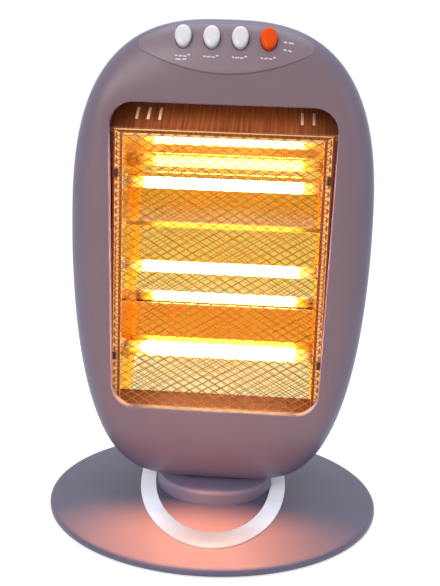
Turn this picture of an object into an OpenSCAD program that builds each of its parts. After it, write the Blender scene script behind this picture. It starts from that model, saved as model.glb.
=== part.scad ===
// Halogen heater: an egg-shaped head with three lamps behind a wire guard,
// swivelling on a round base. Millimetres, +Z up, +X to the right, the front faces -Y.
// The origin is on the floor, under the centre of the base.

/* [Base] */
// Diameter of the round base
base_d = 300; // [290:2:330]
// Height of the base's rim above the floor
rim_top = 7.5; // [7:0.25:8.5]
// Height of the flat deck in the middle of the base
deck_top = 9; // [8.6:0.2:11]
// Diameter of the flat deck
deck_d = 238; // [236:1:250]
// Wall of the base moulding
base_wall = 2.4; // [2:0.1:3]
// Free height under the base's skirt, which the feet stand through
foot_h = 1.5; // [1:0.25:3]
// Diameter of a rubber foot
foot_d = 20; // [14:1:26]
// Thickness of the closing plate under the base
cover_t = 1.6; // [1.2:0.1:2]

/* [Swivel] */
// How far the swivel's axis lies behind the middle of the base
swivel_y = 22; // [16:1:26]
// Diameter of the round collar on the base
collar_d = 108; // [100:1:114]
// Height of the collar's shoulder above the floor
collar_top = 21.5; // [20:0.25:22.5]
// Rise of the collar's domed top above its shoulder
dome_rise = 2; // [1:0.25:2.5]
// Diameter of the steel spindle
spindle_d = 20; // [16:1:22]
// Bore through the spindle
spindle_bore = 12; // [6:1:13]
// Diameter of the neck under the head
neck_d = 54; // [50:1:56]
// Running clearance of a turning pin, on the radius
run_gap = 0.05; // [0.02:0.01:0.1]
// Free gap between pieces that move past each other
air_gap = 0.3; // [0.25:0.05:0.5]

/* [Trim arc] */
// Half width of the trim arc's outer edge
arc_half_w = 68.6; // [60:0.2:72]
// Reach of the trim arc from its ends to its front
arc_reach = 146; // [136:1:147]
// Width of the band at its legs
arc_band = 14.2; // [10:0.2:18]
// Extra width of the band at its front
arc_front_extra = 12.4; // [6:0.2:16]
// Thickness of the trim arc
arc_t = 1.6; // [1:0.1:2.4]
// Turn of the trim arc about the base's axis
arc_turn = 3.6; // [-6:0.2:6]

/* [Head outline] */
// Half of the egg's greatest width
egg_half = 131; // [126:1:138]
// Height of the widest line above the floor
egg_z = 255; // [252:1:260]
// Rise of the egg above its widest line
egg_top = 180; // [174:1:188]
// Drop of the egg below its widest line
egg_low = 227.5; // [225:0.5:228]
// Fullness of the upper half
egg_top_power = 2.77; // [2.4:0.05:3.2]
// Fullness of the lower half
egg_low_power = 5; // [4.2:0.2:6]
// Narrowing of the lower half
egg_taper = 0.23; // [0.15:0.01:0.26]

/* [Head depth] */
// How far the window's lip stands ahead of the swivel's axis
lip_reach = 52; // [49:0.5:56]
// How far the seam lies behind the lip
seam_depth = 22; // [20:0.5:24]
// How far the back stands behind the swivel's axis
back_reach = 50; // [48:0.5:56]
// Swell of the front between the lip and the edge
front_swell = 1; // [0:0.25:2]
// Wall of both shells
shell_wall = 2.5; // [2:0.1:3]
// Share of the egg's size that is left at the flat back
back_share = 0.62; // [0.5:0.02:0.7]

/* [Window] */
// Mean width of the window
win_w = 188.3; // [184:0.5:192]
// Height of the window
win_h = 268.4; // [262:0.5:272]
// Height of the window's centre
win_z = 231.4; // [229:0.5:234]
// Corner radius of the window
win_r = 20.6; // [14:0.5:26]
// Widening of the window towards its top, as a share of its width
win_taper = 0.055; // [0:0.005:0.08]
// Depth of the flange around the window
flange_depth = 8.5; // [6:0.5:9]

/* [Guard] */
// Width of the guard
guard_w = 188; // [184:1:192]
// Height of the guard's lower edge
guard_low = 91; // [88:0.5:93]
// Height of the guard's upper edge
guard_high = 343.2; // [340:0.2:345]
// Width of the guard's side rails
side_rail = 8.5; // [6:0.5:10]
// Width of the guard's top and bottom rails
end_rail = 6.2; // [5:0.2:8]
// Thickness of the guard's rails
rail_t = 1.6; // [1.2:0.1:2]
// Thickness of the net
net_t = 0.6; // [0.4:0.1:1]
// Gaps of the net in each full row
net_columns = 9; // [6:1:10]
// Full rows of gaps in the net
net_rows = 16; // [10:1:16]
// Width of the net's strands
strand_w = 1.3; // [0.8:0.1:2]

/* [Lamps] */
// Height of the middle lamp
lamp_z = 218.8; // [214:0.5:224]
// Spacing of the lamps
lamp_pitch = 75.6; // [72:0.2:77]
// How far the lamps lie behind the lip
lamp_depth = 38.6; // [34:0.2:42]
// Diameter of a quartz tube
tube_d = 10; // [8:0.5:11]
// Wall of a quartz tube
tube_wall = 1; // [0.8:0.1:1.5]
// Length of a quartz tube
tube_l = 180; // [176:1:184]
// Length of the glowing coil
coil_l = 139; // [130:1:150]
// Diameter of the glowing coil
coil_d = 3; // [2:0.2:4]
// Diameter of a ceramic cap
cap_d = 13.6; // [12.6:0.2:14.4]

/* [Reflector] */
// How far the reflector's back lies behind the lip
refl_depth = 68; // [66:0.5:70]
// Height of the reflector's roof
roof_z = 338; // [335:0.5:339]
// Height of the reflector's foot
floor_z = 100; // [98:0.5:104]
// Thickness of the sheet metal
sheet_t = 0.8; // [0.6:0.1:1]
// Slope of the vented cowl above the guard, in degrees
cowl_slope = 30; // [24:1:32]
// Depth of the vented cowl
cowl_depth = 38; // [34:1:40]
// Half width of the vented cowl
cowl_half = 106; // [102:1:108]

/* [Controls] */
// Height of the push buttons' centres
button_z = 419.4; // [417:0.2:420]
// Spacing of the push buttons
button_pitch = 23.5; // [20:0.5:25]
// Width of a push button
button_w = 13.8; // [12.6:0.2:14.6]
// Length of a push button
button_l = 18.6; // [17.6:0.2:20.4]
// How far a push button stands out
button_h = 6.5; // [5.5:0.1:8]
// Travel of a push button
button_travel = 3; // [2:0.1:3.5]
// Lean of the push buttons, in degrees
button_lean = 25; // [20:1:28]
// Half length of the control panel's lower edge
panel_half = 72; // [69:1:74]
// Height of the middle of the panel's lower edge
panel_low = 390.5; // [388:0.5:393]
// Height of the ends of the panel's lower edge
panel_end = 409; // [406:0.5:411]
// How far the panel's lower edge stands proud of the shell
panel_proud = 2.2; // [1.2:0.1:3]

/* [Swing drive] */
// Largest swing of the head to each side, in degrees
swing = 35; // [30:1:35]
// Distance of the motor's axis from the swivel's axis
motor_offset = 32; // [31:0.5:33]
// Diameter of the motor
motor_d = 44; // [36:1:46]
// Height of the motor
motor_h = 16; // [12:0.5:18]
// Length of the fixed arm's slot
slot_l = 32; // [30:1:34]

/* [Back] */
// Length of a vent slot
vent_l = 38; // [30:1:42]
// Width of a vent slot
vent_w = 4; // [3:0.25:5]
// Spacing of the vent slots
vent_pitch = 9; // [8:0.5:10]
// Diameter of the shell screws' columns
column_d = 10; // [9:0.5:11]
// Bore of the cord gland
gland_bore = 7.5; // [6:0.1:8.5]

/* [Hidden] */
$fn = 48;
cut = 0.1;              // overshoot of every cutting body
seat = 0.1;             // gap of a fixed piece in its seat

// colours, as the photo shows them
shell_grey = [0.50, 0.45, 0.49];
dark_steel = [0.30, 0.22, 0.18];
bright_steel = [0.75, 0.75, 0.76];
gold = [0.93, 0.66, 0.22];
white = [0.90, 0.89, 0.90];
orange = [0.96, 0.36, 0.04];
black = [0.08, 0.08, 0.08];

// planes of the head, along Y
lip_y = swivel_y - lip_reach;
seam_y = lip_y + seam_depth;
back_y = swivel_y + back_reach;
flange_y = lip_y + flange_depth;
lamp_y = lip_y + lamp_depth;
refl_y = lip_y + refl_depth;
mesh_y = flange_y + 0.2;            // front of the net
rail_y = mesh_y + net_t;            // front of the rails
skirt_y = rail_y + rail_t + 0.2;    // front of the reflector's fixing flanges
wall_y = skirt_y + sheet_t;         // back of those flanges
win_high = win_z + win_h / 2;
win_low = win_z - win_h / 2;

// heights of the base and the swivel
base_r = base_d / 2;
deck_r = deck_d / 2;
cover_top = foot_h + cover_t;
deck_under = deck_top - base_wall;
collar_r = collar_d / 2;
dome_top = collar_top + dome_rise;
spindle_r = spindle_d / 2;
collar_hole_r = spindle_r + air_gap;
washer_t = 1;
washer_top = dome_top + washer_t;
neck_low = washer_top + air_gap;
neck_r = neck_d / 2;
flange_t = 3;                       // spindle's flange
flange_r = 25;
hub_r = spindle_r + 5;
hub_top = 50.5;
chassis_z = 53.5;                   // underside of the chassis plate
chassis_t = 1.5;
nut_low = hub_top + air_gap;
nut_h = 6;
arm_low = nut_low + nut_h;
arm_t = 2.4;
arm_top = arm_low + arm_t;
pin_l = 0.8;                        // crank's pin, which ends above the fixed arm
crank_low = arm_top + pin_l + air_gap;
crank_t = 3;
motor_low = crank_low + crank_t + 1.2;
motor_x = -motor_offset;
crank_r = motor_offset * sin(swing);
crank_reach = 125;                  // turn of the crank at the end of the swing

// a list of n + 1 even steps from a to b
function steps(a, b, n) = [for (i = [0:n]) a + (b - a) * i / n];

// ---------------------------------------------------------------- head outline

// radius of the egg at an angle, seen from the front
function egg_radius(a) =
    let (power = sin(a) >= 0 ? egg_top_power : egg_low_power,
         reach = sin(a) >= 0 ? egg_top : egg_low)
    pow(pow(abs(cos(a)) / egg_half, power) + pow(abs(sin(a)) / reach, power), -1 / power);

// point [x, z] of the egg at an angle about its widest line
function egg_point(a) =
    let (r = egg_radius(a), x = r * cos(a), z = r * sin(a))
    [x * (z < 0 ? 1 - egg_taper * pow(z / egg_low, 2) : 1), egg_z + z];

corner_n = 7;                       // facets of a window corner
edge_n = 12;                        // parts of a window edge
ring_n = 4 * (corner_n + edge_n);

// rounded rectangle of the window, grown outwards, as [x, z] points
function window_ring(grow) =
    let (hw = win_w / 2 + grow, hh = win_h / 2 + grow, r = win_r + grow)
    [for (q = [0:3])
        let (sx = q == 0 || q == 3 ? 1 : -1, sz = q < 2 ? 1 : -1,
             c = [sx * (hw - r), sz * (hh - r)], nq = (q + 1) % 4,
             nx = nq == 0 || nq == 3 ? 1 : -1, nz = nq < 2 ? 1 : -1,
             last = c + r * [cos(90 * (q + 1)), sin(90 * (q + 1))],
             next = [nx * (hw - r), nz * (hh - r)] + r * [cos(90 * (q + 1)), sin(90 * (q + 1))])
        each concat(
            [for (i = [0:corner_n]) c + r * [cos(90 * (q + i / corner_n)), sin(90 * (q + i / corner_n))]],
            [for (i = [1:edge_n - 1]) last + (next - last) * i / edge_n])];

// the same ring, widened towards the top and lifted to its height
function window_points(grow) =
    [for (p = window_ring(grow)) [p[0] * (1 + win_taper * p[1] / win_h), p[1] + win_z]];

lip_ring = window_points(0);
edge_ring = [for (p = lip_ring) egg_point(atan2(p[1] - egg_z, p[0]))];

// distance of the front's surface behind the lip, at share s between lip and edge
function front_y(s) =
    seam_y - seam_depth * pow(1 - pow(s, 2.6), 1 / 2.2) - front_swell * sin(180 * s);

// ring of the front at share s, pushed back by d
function front_ring(s, d = 0) =
    [for (i = [0:ring_n - 1])
        let (p = lip_ring[i] + (edge_ring[i] - lip_ring[i]) * s) [p[0], front_y(s) + d, p[1]]];

// ring at the egg's edge, set in by d, at depth y
function edge_in(d, y) =
    [for (i = [0:ring_n - 1])
        let (v = edge_ring[i] - lip_ring[i], p = edge_ring[i] - v / norm(v) * d) [p[0], y, p[1]]];

function flat_ring(points, y) = [for (p = points) [p[0], y, p[1]]];

// share of the front's width at a point [x, z] above the window
function front_share(x, z) =
    let (a = atan2(z - egg_z, x), r = norm([x, z - egg_z]), inner = (win_high - egg_z) / sin(a))
    (r - inner) / (egg_radius(a) - inner);

function shell_y(x, z) = front_y(min(0.999, front_share(x, z)));

// closed skin over rings of n points that follow each other round a tube
module ring_tube(rings) {
    n = len(rings[0]);
    m = len(rings);
    polyhedron(points = [for (r = rings) each r],
        faces = [for (j = [0:m - 1]) for (i = [0:n - 1])
            let (a = j * n + i, b = j * n + (i + 1) % n,
                 c = ((j + 1) % m) * n + (i + 1) % n, d = ((j + 1) % m) * n + i)
            each [[a, b, c], [a, c, d]]],
        convexity = 8);
}

// closed skin over rings whose first and last are capped by a fan to a middle point
module ring_bag(rings, first, last) {
    n = len(rings[0]);
    m = len(rings);
    polyhedron(points = concat([for (r = rings) each r], [first, last]),
        faces = concat(
            [for (j = [0:m - 2]) for (i = [0:n - 1])
                let (a = j * n + i, b = j * n + (i + 1) % n,
                     c = (j + 1) * n + (i + 1) % n, d = (j + 1) * n + i)
                each [[a, b, c], [a, c, d]]],
            [for (i = [0:n - 1]) [m * n, (i + 1) % n, i]],
            [for (i = [0:n - 1]) [m * n + 1, (m - 1) * n + i, (m - 1) * n + (i + 1) % n]]),
        convexity = 8);
}

// a flat outline in X and Z, extruded from y1 to y2
module plate_y(y1, y2) {
    translate([0, y2, 0]) rotate([90, 0, 0]) linear_extrude(y2 - y1) children();
}

// a flat outline in Y and Z, extruded from x1 to x2
module plate_x(x1, x2) {
    translate([x1, 0, 0]) rotate([90, 0, 90]) linear_extrude(x2 - x1) children();
}

// a box given by its lowest and highest corners
module box(low, high) {
    translate(low) cube(high - low);
}

// a cylinder along Y from y1 to y2
module rod_y(x, z, r, y1, y2) {
    translate([x, y2, z]) rotate([90, 0, 0]) cylinder(h = y2 - y1, r = r);
}

// a cylinder along X from x1 to x2
module rod_x(y, z, r, x1, x2) {
    translate([x1, y, z]) rotate([0, 90, 0]) cylinder(h = x2 - x1, r = r);
}

module at_swivel(z = 0) {
    translate([0, swivel_y, z]) children();
}

// children at n even places on a circle
module around(n, r, start = 0) {
    for (i = [0:n - 1]) rotate([0, 0, start + 360 * i / n]) translate([r, 0, 0]) children();
}

// ---------------------------------------------------------------- base

cover_r = base_r - 5;
boss_ring_r = base_r - 20;
boss_n = 6;
foot_ring_r = base_r - 22;
collar_boss_ring_r = collar_r - 9.5;
collar_boss_n = 4;
shoulder_r = 3.5;

module base_plate() color(shell_grey) difference() {
    union() {
        difference() {
            rotate_extrude($fn = 96) polygon([[0, foot_h], [base_r - 0.8, foot_h], [base_r, foot_h + 1],
                [base_r, rim_top - 2.6], [base_r - 0.8, rim_top - 0.8], [base_r - 3, rim_top],
                [deck_r, deck_top], [0, deck_top]]);
            translate([0, 0, -cut]) rotate_extrude($fn = 96) polygon([[0, 0],
                [cover_r + seat, 0], [cover_r + seat, rim_top - base_wall + cut],
                [deck_r, deck_under + cut], [0, deck_under + cut]]);
        }
        around(boss_n, boss_ring_r) translate([0, 0, cover_top])
            cylinder(h = deck_under + 0.5 - cover_top, r = 4);
    }
    at_swivel(cover_top) cylinder(h = deck_top, r = flange_r + 5);
    around(boss_n, boss_ring_r) translate([0, 0, cover_top - cut])
        cylinder(h = rim_top - 2.2 - cover_top, r = 1.5 + seat);
    at_swivel() around(collar_boss_n, collar_boss_ring_r, 45) translate([0, 0, deck_under - cut])
        cylinder(h = base_wall + 2 * cut, r = 1.5 + seat);
}

module base_cover() color(black) difference() {
    translate([0, 0, foot_h]) cylinder(h = cover_t, r = cover_r, $fn = 96);
    around(boss_n, boss_ring_r) translate([0, 0, foot_h - cut]) cylinder(h = cover_t + 2 * cut, r = 1.5 + seat);
}

module base_ballast() color(bright_steel) difference() {
    translate([0, 0, cover_top]) cylinder(h = deck_under - cover_top - air_gap, r = boss_ring_r - 14, $fn = 96);
    at_swivel(cover_top - cut) cylinder(h = deck_top, r = collar_boss_ring_r + 8);
}

module rubber_feet() color(black)
    around(4, foot_ring_r, 45) cylinder(h = foot_h, r = foot_d / 2);

module cover_screws() color(bright_steel) around(boss_n, boss_ring_r) {
    translate([0, 0, foot_h - 0.9]) cylinder(h = 0.9, r = 3.2);
    translate([0, 0, foot_h]) cylinder(h = cover_t + 1.6, r = 1.5);
}

module base_collar() color(shell_grey) difference() {
    at_swivel() union() {
        difference() {
            rotate_extrude($fn = 96) polygon(concat(
                [[0, deck_top], [collar_r, deck_top]],
                [for (a = steps(0, 75, 5))
                    [collar_r - shoulder_r + shoulder_r * cos(a), collar_top - shoulder_r + shoulder_r * sin(a)]],
                [[flange_r + 5, dome_top], [0, dome_top]]));
            translate([0, 0, -cut]) rotate_extrude($fn = 96) polygon([[0, deck_top],
                [collar_r - base_wall, deck_top], [collar_r - base_wall, collar_top - shoulder_r],
                [collar_r - shoulder_r - base_wall, collar_top - base_wall],
                [flange_r + 4, dome_top - base_wall], [0, dome_top - base_wall]]);
        }
        around(collar_boss_n, collar_boss_ring_r, 45) translate([0, 0, deck_top])
            cylinder(h = collar_top - base_wall + 1 - deck_top, r = 4);
    }
    at_swivel(deck_top) cylinder(h = dome_top, r = collar_hole_r);
    at_swivel() around(collar_boss_n, collar_boss_ring_r, 45) translate([0, 0, deck_top - cut])
        cylinder(h = 7, r = 1.5 + seat);
    at_swivel(dome_top - base_wall - cut) around(4, flange_r - 6)
        cylinder(h = base_wall - 0.6, r = 1.25 + seat);
}

module collar_screws() color(bright_steel) at_swivel() around(collar_boss_n, collar_boss_ring_r, 45) {
    translate([0, 0, deck_under - 2]) cylinder(h = 2, r = 3.2);
    translate([0, 0, deck_under]) cylinder(h = base_wall + 6, r = 1.5);
}

// the trim arc: half an ellipse, with straight legs that run back under the head
arc_y = 30;                         // where the half ellipse meets its legs
arc_leg = 24;

module arc_outline(half_w, reach, back) {
    polygon(concat([for (a = steps(180, 360, 48)) [half_w * cos(a), arc_y + reach * sin(a)]],
        [[half_w, arc_y + back], [-half_w, arc_y + back]]));
}

module trim_arc() color(white) rotate([0, 0, arc_turn])
    translate([0, 0, deck_top]) linear_extrude(arc_t) difference() {
        arc_outline(arc_half_w, arc_reach, arc_leg);
        arc_outline(arc_half_w - arc_band, arc_reach - arc_band - arc_front_extra, arc_leg + cut);
        rotate(-arc_turn) translate([0, swivel_y]) circle(r = collar_r + air_gap, $fn = 96);
    }

// ---------------------------------------------------------------- swivel

module swivel_spindle() color(bright_steel) at_swivel() difference() {
    union() {
        translate([0, 0, dome_top - base_wall - cut - flange_t]) cylinder(h = flange_t, r = flange_r);
        translate([0, 0, dome_top - base_wall - cut - flange_t])
            cylinder(h = arm_top + 0.6 - dome_top + base_wall + cut + flange_t, r = spindle_r);
    }
    translate([0, 0, deck_top - cut]) cylinder(h = arm_top, r = spindle_bore / 2);
    translate([0, 0, dome_top - base_wall - 2 * cut - flange_t]) around(4, flange_r - 6)
        cylinder(h = flange_t + 2 * cut, r = 1.25 + seat);
}

module spindle_screws() color(bright_steel) at_swivel() around(4, flange_r - 6) {
    translate([0, 0, dome_top - base_wall - cut - flange_t - 1.6]) cylinder(h = 1.6, r = 2.6);
    translate([0, 0, dome_top - base_wall - cut - flange_t]) cylinder(h = flange_t + 1.6, r = 1.25);
}

module thrust_washer() color(white) at_swivel(dome_top) difference() {
    cylinder(h = washer_t, r = flange_r - 1);
    translate([0, 0, -cut]) cylinder(h = washer_t + 2 * cut, r = spindle_r + seat);
}

module retaining_nut() color(bright_steel) at_swivel(nut_low) difference() {
    cylinder(h = nut_h - seat, r = spindle_r + 6, $fn = 6);
    translate([0, 0, -cut]) cylinder(h = nut_h + 2 * cut, r = spindle_r + seat);
}

// the arm that is fixed on the spindle; the crank's pin follows its slot
pin_r = 2.4;
slot_w = 2 * pin_r + 1.2;
arm_w = slot_w + 5;
arm_end = motor_offset + crank_r + pin_r + 2.2;

module slotted_arm() color(bright_steel) at_swivel(arm_low) difference() {
    union() {
        cylinder(h = arm_t, r = spindle_r + 5);
        box([-arm_end + arm_w / 2, -arm_w / 2, 0], [0, arm_w / 2, arm_t]);
        translate([-arm_end + arm_w / 2, 0, 0]) cylinder(h = arm_t, r = arm_w / 2);
    }
    translate([0, 0, -cut]) cylinder(h = arm_t + 2 * cut, r = spindle_r + seat);
    box([-arm_end + 2, -slot_w / 2, -cut], [-arm_end + 2 + slot_l, slot_w / 2, arm_t + cut]);
}

module neck_skirt() color(shell_grey) at_swivel() difference() {
    translate([0, 0, neck_low]) cylinder(h = chassis_z - neck_low, r = neck_r);
    translate([0, 0, neck_low + 3]) difference() {
        cylinder(h = chassis_z, r = neck_r - base_wall);
        translate([0, 0, -cut]) cylinder(h = hub_top - neck_low - 3 + cut, r = hub_r);
        around(3, neck_r - 4.4, 30) translate([0, 0, -cut]) cylinder(h = chassis_z, r = 3.4);
    }
    translate([0, 0, neck_low - cut]) cylinder(h = hub_top, r = spindle_r + run_gap);
    translate([0, 0, chassis_z - 9]) around(3, neck_r - 4.4, 30) cylinder(h = 10, r = 1.5 + seat);
}

module neck_screws() color(bright_steel) at_swivel() around(3, neck_r - 4.4, 30) {
    translate([0, 0, chassis_z + chassis_t]) cylinder(h = 1.8, r = 2.8);
    translate([0, 0, chassis_z - 8]) cylinder(h = 8 + chassis_t, r = 1.5);
}

// ---------------------------------------------------------------- chassis and swing drive

chassis_left = -70;
chassis_right = 64;
chassis_front = seam_y + shell_wall + 1;
chassis_back = swivel_y + 27;
leg_r = 2.4;
ear_t = 1.5;
// the motor's legs, beside the swing of the fixed arm and outside the crank's sweep
leg_points = [[motor_x - 30, 0], [motor_x + 16, -25], [motor_x + 16, 25]];

module chassis_plate() color(bright_steel) difference() {
    union() {
        translate([0, 0, chassis_z]) linear_extrude(chassis_t) polygon([
            [chassis_left, chassis_front], [chassis_right, chassis_front],
            [chassis_right, chassis_back - 14], [46, chassis_back],
            [-46, chassis_back], [chassis_left, chassis_back - 16]]);
        at_swivel(chassis_z) for (p = leg_points) translate(p) cylinder(h = motor_low - chassis_z, r = leg_r);
    }
    at_swivel(chassis_z - cut) cylinder(h = chassis_t + 2 * cut, r = spindle_r + 8.5);
    at_swivel(chassis_z - cut) around(3, neck_r - 4.4, 30) cylinder(h = chassis_t + 2 * cut, r = 1.5 + seat);
    at_swivel(motor_low - 6) for (p = leg_points) translate(p) cylinder(h = 6 + cut, r = 1 + seat);
}

module swing_motor() color(bright_steel) difference() {
    at_swivel() {
        translate([motor_x, 0, motor_low]) cylinder(h = motor_h, r = motor_d / 2);
        translate([motor_x, 0, crank_low + seat]) cylinder(h = motor_low - crank_low, r = 2);
        translate([0, 0, motor_low]) linear_extrude(ear_t) {
            for (p = leg_points) translate(p) circle(r = leg_r + 1.6);
            polygon([for (p = leg_points) p]);
        }
    }
    at_swivel(motor_low - cut) for (p = leg_points) translate(p) cylinder(h = ear_t + 2 * cut, r = 1 + seat);
}

module motor_screws() color(bright_steel) at_swivel() for (p = leg_points) translate(p) {
    translate([0, 0, motor_low + ear_t]) cylinder(h = 1.4, r = 2);
    translate([0, 0, motor_low - 5]) cylinder(h = 5 + ear_t, r = 1);
}

module crank_arm() color(white) translate([motor_x, swivel_y, crank_low]) difference() {
    union() {
        cylinder(h = crank_t, r = 5.5);
        box([-crank_r, -4.5, 0], [0, 4.5, crank_t]);
        translate([-crank_r, 0, 0]) cylinder(h = crank_t, r = 4.5);
        translate([-crank_r, 0, -pin_l]) cylinder(h = crank_t, r = pin_r);
    }
    translate([0, 0, -cut]) cylinder(h = crank_t + 2 * cut, r = 2 + run_gap);
}

// ---------------------------------------------------------------- shells

column_angles = [52, 128, -8, 188, -60, 240];
column_in = 14;                     // from the egg's edge to a column's centre
column_bores = 14;                  // material left under a screw's head

function column_point(a) =
    let (p = egg_point(a), v = p - [0, egg_z]) p - v / norm(v) * column_in;

// the back: share of the egg's size at a share v of its depth
back_z = 240;                       // height that the back draws in to
function back_scale(v) = back_share + (1 - back_share) * pow(1 - pow(v, 2.6), 1 / 2.6);

function back_ring(v, wall = 0) =
    let (y = seam_y + (back_y - wall - seam_y) * v, s = back_scale(v))
    [for (p = edge_ring)
        let (q = [p[0], p[1] - back_z], d = q * s - q / norm(q) * wall) [d[0], y, d[1] + back_z]];

front_steps = [0.06, 0.14, 0.24, 0.36, 0.48, 0.6, 0.7, 0.79, 0.87, 0.93, 0.97, 0.99];
back_steps = [0, 0.15, 0.3, 0.45, 0.58, 0.7, 0.8, 0.88, 0.94, 0.98, 1];

module front_skin() ring_tube(concat(
    [flat_ring(window_points(0), flange_y), flat_ring(window_points(0), lip_y + 1.2),
     flat_ring(window_points(0.4), lip_y + 0.3), flat_ring(window_points(1.2), lip_y)],
    [for (s = front_steps) front_ring(s)],
    [edge_in(0, seam_y - 1.5), edge_in(0, seam_y)],
    [edge_in(shell_wall, seam_y), edge_in(shell_wall + 0.3, seam_y - 4)],
    [for (i = [len(front_steps) - 4:-2:1]) front_ring(front_steps[i], shell_wall)],
    [flat_ring(window_points(shell_wall + 1), lip_y + shell_wall),
     flat_ring(window_points(shell_wall), lip_y + shell_wall + 1),
     flat_ring(window_points(shell_wall), flange_y)]));

module rear_outside(inset = 0) ring_bag(
    concat([edge_in(0.5, seam_y)], [for (i = [1:len(back_steps) - 1]) back_ring(back_steps[i], inset)]),
    [0, seam_y, egg_z], [0, back_y - inset, back_z]);

module rear_inside() ring_bag(
    concat([edge_in(shell_wall + 0.5, seam_y - 1)],
        [for (i = [1:len(back_steps) - 1]) back_ring(back_steps[i], shell_wall)]),
    [0, seam_y - 1, egg_z], [0, back_y - shell_wall, back_z]);

refl_half = tube_l / 2 + 1;         // side walls of the reflector stand just past the tubes' ends
boss_x = refl_half + 13;            // fixing bosses of the reflector
boss_zs = [guard_low + 41, guard_high - 27.2];

module front_shell() color(shell_grey) difference() {
    union() {
        front_skin();
        for (side = [-1, 1], z = boss_zs) rod_y(side * boss_x, z, 4, lip_y + 2.2, skirt_y);
        intersection() {
            for (a = column_angles) let (p = column_point(a)) rod_y(p[0], p[1], column_d / 2, lip_y + 2, seam_y);
            front_solid();
        }
    }
    plate_y(lip_y - 20, seam_y - 1) panel_outline(0);
    for (side = [-1, 1], z = boss_zs) rod_y(side * boss_x, z, 1.5 + seat, skirt_y - 6, skirt_y + cut);
    for (a = column_angles) let (p = column_point(a)) rod_y(p[0], p[1], 1.5 + seat, seam_y - 7, seam_y + cut);
}

// everything inside the front's outer surface
module front_solid() ring_bag(
    concat([flat_ring(window_points(2), lip_y + 0.5)], [for (s = front_steps) front_ring(s, 0.4)],
        [edge_in(0.2, seam_y)]),
    [0, lip_y + 0.5, egg_z], [0, seam_y, egg_z]);

// slots of the back's vents, in X and Z
vent_rows = 9;
low_vent_rows = 5;
module vent_slots() {
    for (side = [-1, 0, 1]) {
        for (i = [0:vent_rows - 1])
            translate([side * (vent_l + 8) - vent_l / 2, egg_z + 7 + i * vent_pitch]) square([vent_l, vent_w]);
        for (i = [0:low_vent_rows - 1])
            translate([side * (vent_l + 8) - vent_l / 2, egg_z - 127 + i * vent_pitch]) square([vent_l, vent_w]);
    }
}

gland_z = 84;
gland_pad_y = back_y - 0.5;

module rear_shell() color(shell_grey) difference() {
    union() {
        difference() {
            rear_outside();
            rear_inside();
        }
        intersection() {
            union() {
                for (a = column_angles) let (p = column_point(a))
                    rod_y(p[0], p[1], column_d / 2, seam_y + seat, back_y);
                for (side = [-1, 1])
                    box([side * 61 - 1.5, chassis_front, 20], [side * 61 + 1.5, chassis_back, chassis_z]);
            }
            rear_outside();
        }
        rod_y(0, gland_z, 11, gland_pad_y - 10, gland_pad_y);
    }
    plate_y(back_y - 12, back_y + cut) vent_slots();
    for (a = column_angles) let (p = column_point(a)) {
        rod_y(p[0], p[1], 1.5 + seat, seam_y - cut, back_y);
        rod_y(p[0], p[1], column_d / 2 - 1.6, seam_y + column_bores, back_y + cut);
    }
    at_swivel(neck_low - cut) cylinder(h = chassis_z - neck_low + 2 * cut, r = neck_r + seat);
    rod_y(0, gland_z, gland_body_r + seat, gland_pad_y - 12, gland_pad_y + cut);
}

module shell_screws() color(bright_steel) for (a = column_angles) let (p = column_point(a)) {
    rod_y(p[0], p[1], 1.5, seam_y - 6, seam_y + column_bores);
    difference() {
        rod_y(p[0], p[1], 3, seam_y + column_bores, seam_y + column_bores + 2.2);
        box([p[0] - 2.2, seam_y + column_bores + 1.2, p[1] - 0.4],
            [p[0] + 2.2, seam_y + column_bores + 3, p[1] + 0.4]);
    }
}

gland_body_r = 6.4;
module cord_gland() color(black) difference() {
    union() {
        rod_y(0, gland_z, 9, gland_pad_y, gland_pad_y + 2.4);
        rod_y(0, gland_z, gland_body_r, gland_pad_y - 13, gland_pad_y);
    }
    rod_y(0, gland_z, gland_bore / 2, gland_pad_y - 14, gland_pad_y + 3);
}

// ---------------------------------------------------------------- controls

panel_top_in = 3.5;                 // rim of the shell left above the panel
panel_top_half = panel_half + 2;    // half length of the panel's upper edge

// height of the panel's lower and upper edges at x
function panel_low_z(x) = panel_low + (panel_end - panel_low) * pow(x / panel_half, 2);
function panel_high_z(x) =
    egg_z + egg_top * pow(1 - pow(abs(x) / egg_half, egg_top_power), 1 / egg_top_power) - panel_top_in;

// outline of the panel, set in by d
panel_n = 24;
panel_us = steps(-1, 1, panel_n);
function panel_low_point(u, d) = [u * (panel_half - d), panel_low_z(u * panel_half) + d];
function panel_high_point(u, d) = [u * (panel_top_half - d), panel_high_z(u * panel_top_half) - d];

module panel_outline(d) {
    polygon(concat([for (u = panel_us) panel_low_point(u, d)],
        [for (i = [panel_n:-1:0]) panel_high_point(panel_us[i], d)]));
}

// point of the panel's face: u across, v up, lifted off the shell by h
function panel_point(u, v, h) =
    let (p = panel_low_point(u, seat) * (1 - v) + panel_high_point(u, seat) * v)
    [p[0], shell_y(p[0], p[1]) - h, p[1]];
// lift of the face: full at the middle of the lower edge, sinking towards the ends and the top
function panel_lift(u, v) = panel_proud * (1 - v) * (1 - 0.9 * pow(abs(u), 2.5)) + 0.3 * v;

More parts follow.
